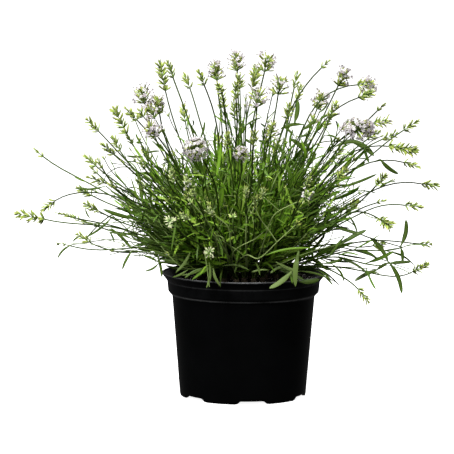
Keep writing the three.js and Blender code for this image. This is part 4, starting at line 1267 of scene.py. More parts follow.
def calyx(build, foot, way, length, radius, draw, closed, tints):
    """A ribbed tube, closed and pointed as a bud or open at its mouth."""
    across, upper = frame_of(way, CALYX_HINT)
    rise, profile = (BUD_RISE, BUD_PROFILE) if closed else (CALYX_RISE, CALYX_PROFILE)
    bend = draw(*CALYX_BEND) * rise**2
    points = foot + np.outer(rise * length, way) + np.outer(bend, across)
    ring = ring_shape(profile * radius, CALYX_SIDES, draw(0, 1), CALYX_RIBS)
    line, tip = rise.repeat(CALYX_SIDES), None
    if closed:
        line, tip = np.append(line, 1.0), points[-1] + way * length * BUD_TIP
    skin(build, points, across, upper, ring, tip, draw(*tints), line)


def corolla(build, foot, way, size, tube_length, tint, draw):
    """A thin tube with five spreading lobes, two of them larger."""
    across, upper = frame_of(way, FLOWER_HINT)
    tube = foot + np.outer(TUBE_RISE, way) * tube_length
    skin(build, tube, across, upper, ring_shape(TUBE_RADII, TUBE_SIDES), None, tint - TUBE_SHADE)
    turn = draw(0, 2 * math.pi)
    for lobe in range(LOBES):
        out = turned(across, upper, turn + 2 * math.pi * lobe / LOBES)
        petal_way = unit(out + way * draw(*LOBE_LEAN))
        petal_side = unit(np.cross(petal_way, way))
        reach = size * draw(*(LARGE_LOBE if lobe < LARGE_LOBES else SMALL_LOBE))
        curl = np.outer(PETAL_RISE**2, -way) * draw(*LOBE_CURL)
        points = tube[-1] + np.outer(PETAL_RISE * reach, petal_way) + curl
        shape = np.zeros((len(PETAL_RISE), 4, 2))
        shape[:, 0, 0] = PETAL_WIDTH * reach * PETAL_BREADTH
        shape[:, 2, 0] = -shape[:, 0, 0]
        shape[:, 1, 1] = PETAL_THICKNESS
        shape[:, 3, 1] = -PETAL_THICKNESS
        tip = points[-1] + petal_way * reach * PETAL_TIP
        sweep(build, points, petal_side, shape, tip, tint, np.append(PETAL_RISE.repeat(4), 1.0))


def withered(build, foot, way, draw):
    """The dark dry remains of a corolla: thin curled strips."""
    across, upper = frame_of(way, FLOWER_HINT)
    shares = np.linspace(0, 1, DRY_POINTS)
    for _ in range(DRY_STRIPS):
        out = turned(across, upper, draw(0, 2 * math.pi))
        reach = draw(*DRY_REACH)
        points = foot + np.outer(shares * reach, way) + np.outer(shares**2 * draw(*DRY_CURL), out)
        shape = ring_shape(np.linspace(*DRY_RADII, DRY_POINTS), DRY_SIDES)
        sweep(build, points, np.cross(out, way), shape, tint=draw(*DRY_TINTS), line=DRY_LINE)


def flower(builds, foot, way, length, look, draw):
    """One calyx, and what is left or open of its corolla."""
    chance = draw(0, 1)
    closed = chance < look["closed"]
    radius = CALYX_RADIUS * grown(look["size"]) * draw(*CALYX_WIDTHS)
    calyx(builds["spikes"], foot, way, length, radius, draw, closed, look["tints"])
    mouth = foot + way * length * CALYX_MOUTH
    if closed:
        return
    if chance < look["closed"] + look["dry"]:
        withered(builds["petals"], mouth, way, draw)
        return
    size, tube_length = draw(*look["petal"]), draw(*look["tube"])
    corolla(builds["petals"], mouth, way, size, tube_length, draw(*look["hues"]), draw)


def axis_mesh(builds, neck, way, across, radii):
    """The axis of a spike or a head, from its neck along a way."""
    points = neck + np.outer(np.linspace(0, 1, len(radii)), way)
    sweep(builds["stems"], points, across, ring_shape(radii, STEM_SIDES), tint=AXIS_TINT)


def calyx_stalk(builds, start, end, across):
    shape = ring_shape([CALYX_STALK_RADIUS] * 2, CALYX_STALK_SIDES)
    sweep(builds["spikes"], np.array([start, end]), across, shape, tint=CALYX_STALK_TINT)


def head_mesh(builds, neck, end, side, look, form, draw):
    """A round head of open flowers on stalks of their own."""
    count, rise, stalks, swelling, shift = form
    across = square(end, side)
    upper = np.cross(end, across)
    middle = neck + end * rise + shift
    axis_mesh(builds, neck, (middle - neck) * HEAD_AXIS_SHARE, across, [HEAD_AXIS_RADIUS] * 3)
    for way in spread_ways(count, LOWEST_HEAD_WAY):
        out = across * way[0] + upper * way[1] + end * way[2]
        out = unit(out + strewn(draw, HEAD_STREWN, HEAD_STREWN, HEAD_STREWN))
        stalk = draw(*stalks)
        foot = middle + end * way[2] * HEAD_CORE + out * stalk * swelling
        hint = end + across * HEAD_STALK_TILT
        calyx_stalk(builds, middle + HEAD_STALK_FROM * (foot - middle), foot, frame_of(out, hint)[0])
        length = CALYX_LENGTH * look["size"] * draw(*HEAD_CALYX_LENGTHS)
        flower(builds, foot, unit(out * swelling), length, look, draw)


def spike_mesh(builds, neck, end, side, body, look, draw):
    """Calyces in whorls, each whorl two halves that face away from each other, with bracts."""
    across = square(end, side)
    upper = np.cross(end, across)
    size = look["size"]
    axis_mesh(builds, neck, end * body, across, np.linspace(*AXIS_RADII, AXIS_POINTS))
    whorls = max(1, round(body / WHORL_SPACING))
    turn = draw(0, math.pi)
    for whorl in range(whorls):
        height = body * whorl / whorls
        for middle in (turn, turn + math.pi):
            out = turned(across, upper, middle)
            foot = neck + end * (height - BRACT_DROP) + out * AXIS_OUT
            length = draw(*BRACT_LENGTH) * size
            bract = Leaf(foot, end, out, BRACT_OPENING, length, BRACT_WIDTH * size, 0.0)
            add_leaf(builds["spikes"], bract, draw, BRACT_SECTIONS)
            count = round(look["half"] + draw(*WHORL_COUNT) - (whorl > FULL_WHORLS * whorls))
            for i in range(count):
                fan = HALF_WHORL_FAN * (2 * (i + 0.5) / count - 1) + draw(*FAN_TURN)
                out = turned(across, upper, middle + fan)
                tilt = draw(*look["lean"]) * (1 - TOP_LEAN_LOSS * whorl / whorls)
                way = turned(end, out, tilt)
                foot = neck + end * (height + draw(*CALYX_HEIGHTS)) + out * AXIS_OUT
                stalk_length = look["stalk"] * draw(*CALYX_STALKS)
                top = foot + way * stalk_length
                if stalk_length > LEAST_CALYX_STALK:
                    calyx_stalk(builds, foot, top, frame_of(way, end)[0])
                length = CALYX_LENGTH * size * draw(*CALYX_LENGTHS)
                flower(builds, top, way, length, look, draw)
        turn += math.pi / 2 + draw(*WHORL_TURN)
    for i in range(look["ends"]):
        angle = turn + 2 * math.pi * (i + draw(*END_TURN)) / look["ends"]
        way = unit(end + turned(across, upper, angle) * draw(*END_LEAN))
        top = neck + end * (body - END_DROP)
        length = draw(*END_LENGTH) * size
        calyx(builds["spikes"], top, way, length, END_RADIUS * size, draw, True, look["tints"])


def planned_spike(builds, branch, draw):
    """The spike of a planned stem, with a whorl apart below it where the plan has one."""
    look, neck, end, side = LOOKS[branch.look], branch.path.point(1), branch.end, branch.side
    body = branch.kind["whorls"] * WHORL_PITCH
    if branch.look == "star":
        neck, body = neck + end * body * STAR_RISE, body * (1 - STAR_RISE)
    drop = BLOOM_DROPS.get(branch.look, 0.0)
    neck, body = neck - end * drop, body - drop / 2
    if branch.place in HEADS:
        head_mesh(builds, neck, end, side, look, HEADS[branch.place], draw)
        return
    apart = WHORL_GAP if branch.kind["apart"] else 0
    if apart:
        spike_mesh(builds, neck, end, side, APART_BODY, look, draw)
    spike_mesh(builds, neck + end * apart, end, side, body, look, draw)
    if apart:
        axis_mesh(builds, neck, end * apart, side, [APART_AXIS_RADIUS] * 3)


# The finer sprays

def strewn(draw, *spans):
    return np.array([draw(*span) for span in spans])


def dress_branch(builds, branch, draw):
    """The stem of a branch with its planned leaves, and smaller ones that only this model has."""
    strand = waved(branch, STEM_WAVE, draw)
    stem_mesh(builds["stems"], strand, FINE_RADII, draw(*FINE_TINTS), branch.places)
    for leaf in branch.leaves:
        leaf.at = leaf.at + (strand.point(leaf.place) - branch.path.point(leaf.place))
        leaf.width *= FINE_LEAF_WIDTH_SHARE
        add_leaf(builds["leaves"], leaf, draw)
    if branch.kind:
        planned_spike(builds, branch, draw)
        bare = BARE_LOW_SHARE if strand.points[-1][2] < LOW_TIP_HEIGHT else None
        pairs(builds, strand, STEM_PAIRS, STEM_PAIR_SHIFT, STEM_BLADE, draw, bare)
        if branch.kind["name"] != "bud" and draw(0, 1) < SIDE_TWIG_SHARE:
            side_twig(builds, strand, draw(*SIDE_TWIG_PLACE), draw)
    else:
        branch.end_leaf.width *= FINE_LEAF_WIDTH_SHARE
        add_leaf(builds["leaves"], branch.end_leaf, draw)
        pairs(builds, strand, SHOOT_PAIRS, SHOOT_PAIR_SHIFT, SHOOT_BLADE, draw)


def leaf_rise(points):
    """How much higher the lowest leaves are at each point than they are over the rim."""
    slope = np.where(points[..., 0] > 0, RIGHT_LEAF_SLOPE, LEFT_LEAF_SLOPE)
    beyond = np.hypot(points[..., 0], points[..., 1]) - RIM_REACH
    return slope * np.clip(beyond, 0, LAST_LEAF_RISE)


def pair(builds, strand, t, turn, size, blade, draw):
    """Two leaves that face each other across a stem."""
    lengths, widths = blade
    tangent = strand.tangent(t)
    for half_turn in (0, math.pi):
        out = strand.outward(t, turn + half_turn + draw(*PAIR_TURN))
        at = strand.point(t) + out * PAIR_OUT
        for _ in range(LEAF_ATTEMPTS):
            length = size * draw(*lengths)
            width = (widths[0] + (widths[1] - widths[0]) * draw(0, 1) ** 2) * grown(size)
            wider = draw(*WIDER_OPENING) if draw(0, 1) < WIDE_OPENING_SHARE else 0
            leaf = Leaf(at, tangent, out, draw(*FILL_OPENING) + wider, length, width, draw(*FILL_SAG))
            points = leaf.point(LEAF_SAMPLES)
            least = np.where(points[:, 1] < FRONT_LEAF_DEPTH, FRONT_LEAF_HEIGHT, LEAST_LEAF_HEIGHT)
            if clear_of_pot(points) and np.all(points[:, 2] > least + leaf_rise(points)):
                add_leaf(builds["leaves"], leaf, draw, FILL_SECTIONS)
                break


def pairs(builds, strand, places, shift, blade, draw, bare=None):
    """Pairs of leaves at places along a stem, each a quarter turn from the last, or a bare place."""
    for step, (t, size) in enumerate(places):
        if bare is None or draw(0, 1) >= bare:
            at = t + draw(*shift) if shift else t
            pair(builds, strand, at, step * math.pi / 2, size, blade, draw)


def side_twig(builds, strand, t, draw):
    """A short side stem that ends in a few buds."""
    out, tangent = strand.outward(t, draw(0, 2 * math.pi)), strand.tangent(t)
    way = turned(tangent, out, draw(*SIDE_TWIG_LEAN))
    length = draw(*SIDE_TWIG_LENGTH)
    shares = np.linspace(0, 1, SIDE_TWIG_POINTS)
    line = np.outer(shares, way) + np.outer(shares**2, tangent - way) / 2
    twig = Strand(strand.point(t) + line * length, np.cross(tangent, out))
    stem_mesh(builds["stems"], twig, SIDE_TWIG_RADII, draw(0, 1))
    tip_spike(builds, twig, draw(*SIDE_TWIG_BODY), LOOKS["tip"], draw)
    shift, size = SIDE_TWIG_PAIR
    pair(builds, strand, t + shift, draw(0, math.pi), size, SIDE_TWIG_BLADE, draw)


def tip_spike(builds, strand, body, look, draw):
    """A spike at the end of a strand."""
    spike_mesh(builds, strand.point(1), strand.tangent(1), strand.side, body, look, draw)


def spread_ways(count, lowest):
    """Directions spread evenly over a dome, down to the given height on it."""
    golden = math.pi * (3 - math.sqrt(5))
    for i in range(count):
        height = lowest + (HIGHEST_WAY - lowest) * (i + 0.5) / count
        level = math.sqrt(1 - height * height)
        yield np.array([level * math.cos(golden * i), level * math.sin(golden * i), height])


def nearest_root(roots, way):
    wanted = way[:2] * CROWN_REACH * NEAREST_ROOT_SHARE
    return min(range(len(roots)), key=lambda i: math.hypot(*(roots[i][:2] - wanted)))


def added_strand(root, way, form, draw):
    """A waved stem that only this model has, from a root toward a way."""
    share = form["side"] + (1 - form["side"]) * smooth(way[2] / form["whole_from"])
    reach = draw(*form["reach"]) * share + form["top"] * way[2] ** 2
    tip = CROWN + way * reach + strewn(draw, *form["strewn"])
    tip[2] = max(tip[2], LOWEST_SHOOT_TIP + leaf_rise(tip))
    droop = draw(*form["droop"])
    foot = root + level_way(draw(0, 2 * math.pi)) * BRANCH_SPREAD + FOOT_LIFT
    return waved(Branch(foot, tip, droop, 0, ADDED_SWAY, draw), form["wave"], draw)


def dress_fill_shoot(builds, root, way, draw):
    strand = added_strand(root, way, FILL_FORM, draw)
    places = [FILL_PAIR_FIRST + FILL_PAIR_SPAN * i / (FILL_PAIRS - 1) for i in range(FILL_PAIRS)]
    stem_mesh(builds["stems"], strand, FILL_FORM["radii"], draw(*FILL_FORM["tints"]), places)
    sizes = [1 - FILL_PAIR_SHRINK * (i / FILL_PAIRS) ** 2 for i in range(FILL_PAIRS)]
    pairs(builds, strand, list(zip(places, sizes)), None, FILL_BLADE, draw)
    form = FILL_END_LEAF
    blade = strewn(draw, form["opening"], form["length"], form["width"])
    leaf = Leaf(strand.point(1), strand.tangent(1), strand.outward(1, 0), *blade, form["sag"])
    add_leaf(builds["leaves"], leaf, draw, form["sections"])


def dress_twig(builds, root, way, draw):
    """A thin twig that rises past the leaves, with small leaves and often a bud."""
    strand = added_strand(root, way, TWIG_FORM, draw)
    stem_mesh(builds["stems"], strand, TWIG_FORM["radii"], draw(*TWIG_FORM["tints"]))
    pairs(builds, strand, TWIG_PAIRS, TWIG_PAIR_SHIFT, TWIG_BLADE, draw)
    if draw(0, 1) < TWIG_BUD_SHARE:
        tip_spike(builds, strand, draw(*TWIG_BUD_BODY), LOOKS["tip"], draw)
    else:
        pairs(builds, strand, (TWIG_END_PAIR,), None, TWIG_BLADE, draw)


def rooted(roots, places, count):
    """The number of the nearest root, and a curve from it through the given places."""
    spray = nearest_root(roots, unit(places[0] - CROWN))
    return spray, through(np.array([roots[spray] + FOOT_LIFT, *places]), count)


def stalk(builds, roots, foot, draw):
    """A thin stem to a leaf that would hang free, over the rim if the leaf is lower."""
    low, over, share = STALK_RIM
    middle = CROWN + (foot - CROWN) * STALK_BEND
    middle[2] = max(middle[2] + STALK_ARCH, CROWN[2] + STALK_RISE)
    places = [middle, foot]
    if foot[2] < CROWN[2] + low:
        places.insert(1, np.array([foot[0] * share, foot[1] * share, CROWN[2] + over]))
    spray, points = rooted(roots, places, STALK_POINTS)
    strand = Strand(points, unit(np.cross(UP, foot - CROWN)))
    stem_mesh(builds[spray]["stems"], strand, STALK_RADII, draw(*STALK_TINTS))


def measured_stems(own, draw):
    """The stems that the photo shows by themselves. Returns the points along each."""
    near = []
    for places, radius, end, tint in PLACED_STEMS:
        points = through(np.array([sighted(*place) for place in places]), MEASURED_POINTS)
        near.append(points)
        level = abs(points[-1][2] - points[0][2]) < LEVEL_STEM_RISE
        strand = Strand(points, UP if level else ACROSS)
        stem_mesh(own["stems"], strand, (radius, radius * MEASURED_END_SHARE), tint)
        if end:
            tip_spike(own, strand, end, LOOKS["bud" if end > LEAST_BUD else "tip"], draw)
    return near


def dress_placed(builds, roots, draw):
    """The single leaves and stems that the photo shows by themselves."""
    own = builds[PLACED_SPRAY]
    near = measured_stems(own, draw)
    shares = np.linspace(0, 1, LEAF_SECTIONS + 1)
    arc = np.sin(math.pi * shares)
    for across, up, tip_across, tip_up, depth, width, bow in PLACED_LEAVES:
        foot, tip = sighted(across, up, depth), sighted(tip_across, tip_up, depth)
        way = unit(tip - foot)
        side = unit(np.cross(way, unit(EYE - foot)))
        upper = np.cross(way, side)
        length = float(np.linalg.norm(tip - foot))
        lift = draw(*MEASURED_LIFT) * length
        points = foot + np.outer(shares, tip - foot) + np.outer(arc, side * bow + upper * lift)
        twist = (draw(*MEASURED_TURN) + draw(*MEASURED_TWIST) * shares[:-1])[:, None]
        # Placed leaves are darkened as painted shade, save those low in front near the middle
        part, tints = "leaves", SHADED_CLEAR_LEAF_TINTS
        if depth < LIGHT_LEAF_DEPTH and abs(foot[0]) < LIGHT_LEAF_REACH:
            near_rim = depth > FAR_FRONT_DEPTH
            part, tints = ("stems", RIM_LEAF_TINTS) if near_rim else ("leaves", LIGHT_LEAF_TINTS)
        leaf_mesh(own[part], points, turned(side, upper, twist), width, draw(*tints))
        if np.linalg.norm(np.vstack(near) - foot, axis=1).min() > STALK_REACH:
            stalk(builds, roots, foot, draw)
        near.append(points)


def dress_strays(builds, roots, draw):
    """Thin light stems that come out of the leaves and wander over them, with a leaf or two."""
    for way in spread_ways(STRAYS, LOWEST_STRAY_WAY):
        way = unit(way + strewn(draw, *STRAY_STREWN))
        if way[1] > BACK_STRAY_WAY and draw(0, 1) < BACK_STRAY_SHARE:
            continue
        level = unit(np.cross(UP, way))
        upward = np.cross(way, level)
        lean = draw(*STRAY_LEANS)
        along = level * math.sin(lean) + upward * math.cos(lean)
        length = draw(*STRAY_LENGTHS)
        middle = CROWN + way * STRAY_DOME * draw(*STRAY_HEIGHTS)
        sink = way * STRAY_ARCH + np.cross(way, along) * draw(*STRAY_BENDS) * length
        over = [middle + along * length * t - sink * (4 * t * t) for t in (-0.5, 0, 0.5)]
        if min(place[2] - leaf_rise(place) for place in over) < FRONT_LEAF_HEIGHT:
            continue
        spray, points = rooted(roots, over, STRAY_POINTS)
        strand = Strand(points, level)
        radii = (draw(*STRAY_RADII), STRAY_END_RADIUS)
        stem_mesh(builds[spray]["stems"], strand, radii, draw(*STRAY_TINTS))
        for t in strewn(draw, *STRAY_PAIRS):
            pair(builds[spray], strand, t, draw(0, math.pi), STRAY_PAIR_SIZE, STRAY_BLADE, draw)


def dress_spikes(builds, roots, draw):
    """The spikes that only this model has, on thin stems of their own."""
    for across, up, depth, lean, body, length, look in PLACED_SPIKES:
        lean = math.radians(lean)
        end = unit(np.array([math.sin(lean), draw(*SPIKE_TURN), math.cos(lean)]))
        neck = sighted(across, up, depth) - end * (body + TIP_LENGTH)
        bend = neck - (end + unit(neck - CROWN)) / 2 * length
        places = [CROWN + (bend - CROWN) * SPIKE_STEM_BEND, bend, neck]
        spray, points = rooted(roots, places, SPIKE_STEM_POINTS)
        strand = Strand(points, ACROSS)
        stem_mesh(builds[spray]["stems"], strand, SPIKE_STEM_RADII, draw(*SPIKE_STEM_TINTS))
        tip_spike(builds[spray], strand, body, LOOKS[look], draw)


def through(corners, count):
    """A smooth curve through given points."""
    padded = np.vstack([2 * corners[0] - corners[1], corners, 2 * corners[-1] - corners[-2]])
    spans = len(corners) - 1
    points = []
    for t in np.linspace(0, spans, count):
        i = min(int(t), spans - 1)
        u = t - i
        a, b, c, d = padded[i:i + 4]
        points.append(0.5 * (2 * b + (c - a) * u + (2 * a - 5 * b + 4 * c - d) * u**2
                             + (3 * b - a - 3 * c + d) * u**3))
    return np.array(points)


# The pot and its soil

def rounded(corners, radius):
    """An open outline with its inner corners rounded."""
    corners = np.array(corners, float)
    outline = [corners[0]]
    for before, corner, after in zip(corners, corners[1:], corners[2:]):
        ends = [side - corner for side in (before, after)]
        reach = min(radius, *(np.linalg.norm(end) * ROUNDING_SHARE for end in ends))
        start, end = (corner + unit(end) * reach for end in ends)
        for t in np.linspace(0, 1, ROUNDING_STEPS):
            outline.append((1 - t) ** 2 * start + 2 * t * (1 - t) * corner + t * t * end)
    return np.array(outline + [corners[-1]])


def lathe(outline, segments):
    """Points and faces of an outline turned about the upright axis, from axis to axis."""
    angles = 2 * math.pi * np.arange(segments) / segments
    ring = np.stack([np.cos(angles), np.sin(angles)], axis=1)
    inner = outline[1:-1]
    xy = inner[:, 0][:, None, None] * ring[None]
    z = np.broadcast_to(inner[:, 1][:, None, None], (len(inner), segments, 1))
    points = np.concatenate([xy, z], axis=2).reshape(-1, 3)
    first, last = [0, 0, outline[0][1]], [0, 0, outline[-1][1]]
    quads, here, after = ring_quads(len(inner), segments)
    count, top = len(points), (len(inner) - 1) * segments
    foot = np.stack([after, here, np.full(segments, count)], axis=1)
    lid = np.stack([top + here, top + after, np.full(segments, count + 1)], axis=1)
    return np.vstack([points, first, last]), (quads, foot, lid)


def turned_mesh(name, points, faces):
    build = Build()
    build.add(points, faces)
    return build.mesh(name)


def notch_lift(points):
    """How high the foot ring's lower edge is lifted at each point by the drain notches."""
    angles = np.degrees(np.arctan2(points[:, 1], points[:, 0])) - (NOTCH_TURN - 90)
    step = 360 / DRAIN_COUNT
    off = np.abs((angles + step / 2) % step - step / 2)
    along = np.radians(off) * FOOT_RADIUS
    slope = (NOTCH_WIDTH - NOTCH_TOP_WIDTH) / 2
    return NOTCH_HEIGHT * np.clip((NOTCH_WIDTH / 2 - along) / slope, 0, 1)


def between(start, end, shares):
    """Points on the line from one corner to the next."""
    return [(start[0] + (end[0] - start[0]) * t, start[1] + (end[1] - start[1]) * t) for t in shares]


def pot_corners():
    """The pot's outline, from the middle of its base out, up, over the rim and down inside."""
    lip_height, collar_height = POT_HEIGHT - LIP_DEPTH, POT_HEIGHT - COLLAR_DEPTH
    neck_height, floor = POT_HEIGHT - NECK_DEPTH, FOOT_HEIGHT + POT_FLOOR_THICKNESS
    inner_foot = FOOT_RADIUS - FOOT_RING_WIDTH
    neck, collar = (NECK_RADIUS, neck_height), (COLLAR_FOOT_RADIUS, collar_height)
    lip, rim = (LIP_FOOT_RADIUS, lip_height), (POT_TOP_RADIUS - RIM_EDGE[0], POT_HEIGHT - RIM_EDGE[1])
    bead = [(POT_TOP_RADIUS + LIP_BEAD * (math.cos(a) - 1), POT_HEIGHT + LIP_BEAD * (math.sin(a) - 1))
            for a in BEAD_ANGLES]
    return [
        (0, 0), (CENTRE_PAD_RADIUS, 0), (CENTRE_PAD_RADIUS + PAD_SLOPE, FOOT_HEIGHT),
        (inner_foot - PAD_SLOPE, FOOT_HEIGHT), (inner_foot, 0), (FOOT_RADIUS, 0),
        (POT_BASE_RADIUS, FOOT_HEIGHT), (POT_BASE_RADIUS + BASE_EDGE[0], FOOT_HEIGHT + BASE_EDGE[1]),
        (NECK_RADIUS - NECK_EDGE[0], neck_height - NECK_EDGE[1]),
        neck, *between(neck, collar, COLLAR_SHARES), collar, *between(collar, lip, LIP_SHARES),
        lip, *between(lip, rim, RIM_SHARES), rim, *bead,
        (LIP_FOOT_RADIUS - POT_WALL, lip_height), (NECK_RADIUS - POT_WALL, neck_height),
        (POT_BASE_RADIUS - POT_WALL, floor), (0, floor),
    ]


def pot_mesh():
    points, faces = lathe(rounded(pot_corners(), POT_CORNER), POT_SEGMENTS)
    from_middle = np.hypot(points[:, 0], points[:, 1])
    foot = from_middle > FOOT_RADIUS - FOOT_RING_WIDTH - FOOT_MARGIN
    reach = np.where(from_middle > POT_BASE_RADIUS - BASE_MARGIN, NOTCH_REACH, FOOT_HEIGHT)
    lift = np.minimum(notch_lift(points), reach) * (1 - np.clip(points[:, 2] / reach, 0, 1))
    points[:, 2] += np.where(foot & (points[:, 2] < NOTCH_REACH), lift, 0)
    return turned_mesh("pot_shell", points, faces)


def mark_painted_highlights(mesh):
    """Marks where the pot's edges are painted pale as highlights, in the mesh's line attribute."""
    points = np.empty(len(mesh.vertices) * 3)
    mesh.vertices.foreach_get("co", points)
    points = points.reshape(-1, 3) / MM
    from_middle = np.hypot(points[:, 0], points[:, 1])
    highlight = np.zeros(len(points))
    for height, radius, width, strength in PAINTED_HIGHLIGHT_EDGES:
        off = np.hypot(points[:, 2] - height, from_middle - radius)
        highlight = np.maximum(highlight, strength * (1 - smooth(off / width - HIGHLIGHT_CORE)))
    # The rim's painted highlight is dimmed toward its left end
    rim_highlight_share = DIM_RIM_HIGHLIGHT + (1 - DIM_RIM_HIGHLIGHT) * smooth((points[:, 0] + POT_TOP_RADIUS) / DIM_RIM_SPAN)
    highlight *= np.where(points[:, 2] > POT_HEIGHT - RIM_DEPTH, rim_highlight_share, 1)
    layer = mesh.attributes.get("line") or mesh.attributes.new("line", "FLOAT", "POINT")
    layer.data.foreach_set("value", highlight.astype(np.float32))


def cut_drains(pot):
    """Cuts the round drain holes through the pot's base."""
    build = Build()
    for i in range(DRAIN_COUNT):
        centre = level_way(math.radians(NOTCH_TURN - 90 + 360 / DRAIN_COUNT * i)) * DRAIN_HOLE_CIRCLE
        points = centre + np.outer(DRILL_HEIGHTS, UP)
        sweep(build, points, ACROSS, ring_shape([DRAIN_HOLE_RADIUS] * 2, DRILL_SIDES))
    cutter = add_object("drain_cutter", build.mesh("drain_cutter"))
    cut = pot.modifiers.new("drains", "BOOLEAN")
    cut.operation, cut.object, cut.solver = "DIFFERENCE", cutter, "EXACT"
    bpy.context.view_layer.update()
    done = bpy.data.meshes.new_from_object(pot.evaluated_get(bpy.context.evaluated_depsgraph_get()))
    pot.modifiers.clear()
    pot.data = done
    bpy.data.objects.remove(cutter)


def soil_surface(x, y):
    """The height of the finer soil, with its crumbs."""
    crumbs = noise.fractal(Vector((x * CRUMB_WAVE, y * CRUMB_WAVE, CRUMB_PLACE)), *CRUMB_NOISE)
    edge = 1 - smooth((math.hypot(x, y) - CRUMB_EDGE[0]) / CRUMB_EDGE[1])
    return float(soil_top(x, y)) + CRUMB_HEIGHT * crumbs * (EDGE_CRUMBS + (1 - EDGE_CRUMBS) * edge)


def soil_mesh():
    inset = POT_WALL + FIT_GAP
    top_radius = LIP_FOOT_RADIUS - inset
    floor = FOOT_HEIGHT + POT_FLOOR_THICKNESS + FIT_GAP
    wall = [(0, floor), (POT_BASE_RADIUS - inset, floor), (NECK_RADIUS - inset, POT_HEIGHT - NECK_DEPTH),
            (top_radius, SOIL_EDGE_HEIGHT - SOIL_SHOULDER)]
    shares = np.linspace(1, 0, SOIL_RINGS) ** SOIL_RING_POWER
    rings = [(top_radius * share, SOIL_EDGE_HEIGHT) for share in shares]
    points, faces = lathe(np.array(wall + rings), SOIL_SEGMENTS)
    for point in points:
        if point[2] > SOIL_EDGE_HEIGHT - SOIL_SHOULDER / 2:
            point[2] = soil_surface(point[0], point[1])
    return turned_mesh("soil_body", points, faces)


def lumps(name, draw, count, sizes, reach, sunk, fineness):
    """Small uneven lumps that lie on the soil."""
    build = Build()
    shape = bmesh.new()
    bmesh.ops.create_icosphere(shape, subdivisions=fineness, radius=1)
    corners = np.array([v.co for v in shape.verts])
    faces = np.array([[v.index for v in f.verts] for f in shape.faces])
    shape.free()
    for _ in range(count):
        angle, far = draw(0, 2 * math.pi), reach * math.sqrt(draw(0, 1))
        x, y = far * math.cos(angle), far * math.sin(angle)
        size = sizes[0] + (sizes[1] - sizes[0]) * draw(0, 1) ** 3
        shift = Vector(strewn(draw, LUMP_SHIFT, LUMP_SHIFT, LUMP_SHIFT))
        dents = np.array([noise.noise(Vector(c) * LUMP_DENT_WAVE + shift) for c in corners])
        swell = 1 + LUMP_DENTS * dents
        points = corners * swell[:, None] * strewn(draw, *LUMP_STRETCH) * size
        build.add(points + np.array([x, y, soil_surface(x, y) + size * sunk]), (faces,), draw(0, 1))
    return build.mesh(name)


def fibres(name, draw):
    """Thin dry fibres that lie on the soil."""
    build = Build()
    shape = ring_shape([FIBRE_RADIUS] * FIBRE_POINTS, FIBRE_SIDES)
    steps = np.linspace(-0.5, 0.5, FIBRE_POINTS)
    for _ in range(FIBRES):
        angle, far, turn = draw(0, 2 * math.pi), FIBRE_REACH * math.sqrt(draw(0, 1)), draw(0, math.pi)
        way = np.array([math.cos(turn), math.sin(turn)])
        bend = np.array([-way[1], way[0]]) * draw(*FIBRE_BEND)
        length = draw(*FIBRE_LENGTH)
        level = level_way(angle)[:2] * far + np.outer(steps * length, way)
        level = level + np.outer(1 - 4 * steps**2, bend)
        if np.hypot(*level.T).max() > LAST_FIBRE_REACH:
            continue
        height = max(soil_surface(x, y) for x, y in level) + FIBRE_HEIGHT
        points = np.column_stack([level, np.full(FIBRE_POINTS, height)])
        sweep(build, points, UP, shape, tint=draw(0, 1))
    return build.mesh(name)


# Materials

class Nodes:
    """Short calls for a material's node tree."""

    def __init__(self, name):
        self.material = bpy.data.materials.new(name)
        self.material.use_nodes = True
        self.tree = self.material.node_tree
        self.shader = self.tree.nodes["Principled BSDF"]

    def add(self, kind, **values):
        node = self.tree.nodes.new(kind)
        for key, value in values.items():
            setattr(node, key, value)
        return node

    def feed(self, socket, value):
        """Links a socket to another one, or gives it a value."""
        if isinstance(value, bpy.types.NodeSocket):
            self.tree.links.new(value, socket)
        else:
            socket.default_value = (*value, 1) if isinstance(value, tuple) else value

    def source(self, source):
        """The value of an attribute, or a noise of the given scale, detail and roughness."""
        if isinstance(source, str):
            return self.add("ShaderNodeAttribute", attribute_name=source).outputs["Fac"]
        node = self.add("ShaderNodeTexNoise")
        values = source + NOISE_REST[len(source) - 1:]
        for name, value in zip(("Scale", "Detail", "Roughness"), values):
            node.inputs[name].default_value = value
        self.feed(node.inputs["Vector"], self.add("ShaderNodeTexCoord").outputs["Object"])
        return node.outputs["Fac"]

    def ramp(self, source, stops):
        node = self.add("ShaderNodeValToRGB")
        elements = node.color_ramp.elements
        while len(elements) < len(stops):
            elements.new(0.5)
        for element, (place, color) in zip(elements, stops):
            element.position = place
            element.color = (*color, 1)
        self.feed(node.inputs["Fac"], source)
        return node.outputs["Color"]

    def mix(self, share, first, second, blend="MIX"):
        node = self.add("ShaderNodeMix", data_type="RGBA", blend_type=blend)
        for name, value in (("Factor", share), ("A", first), ("B", second)):
            self.feed(node.inputs[name], value)
        return node.outputs["Result"]

    def math(self, operation, first, second):
        node = self.add("ShaderNodeMath", operation=operation)
        for socket, value in zip(node.inputs, (first, second)):
            self.feed(socket, value)
        return node.outputs["Value"]

    def scaled(self, source, gain, shift):
        return self.math("ADD", self.math("MULTIPLY", self.source(source), gain), shift)

    def bump(self, source, strength, distance):
        node = self.add("ShaderNodeBump")
        for name, value in (("Strength", strength), ("Distance", distance), ("Height", self.source(source))):
            self.feed(node.inputs[name], value)
        self.feed(self.shader.inputs["Normal"], node.outputs["Normal"])

    def color(self, value):
        self.feed(self.shader.inputs["Base Color"], value)

    def set(self, **values):
        for key, value in values.items():
            self.shader.inputs[key.replace("_", " ")].default_value = value


def surface(name, source, stops, bump, values, over=(), times=None):
    """A material of SURFACES, as its nodes and the output of its colour."""
    n = Nodes(name)
    color = n.ramp(n.source(source), stops)
    if times:
        color = n.mix(1.0, color, n.ramp(n.source("line"), times), "MULTIPLY")
    for mask, share, other in over:
        color = n.mix(n.math("MULTIPLY", n.source(mask), share), color, other)
    n.color(color)
    n.set(**values)
    n.bump(*bump)
    return n, color


def material_of(name):
    return surface(**SURFACES[name])[0].material


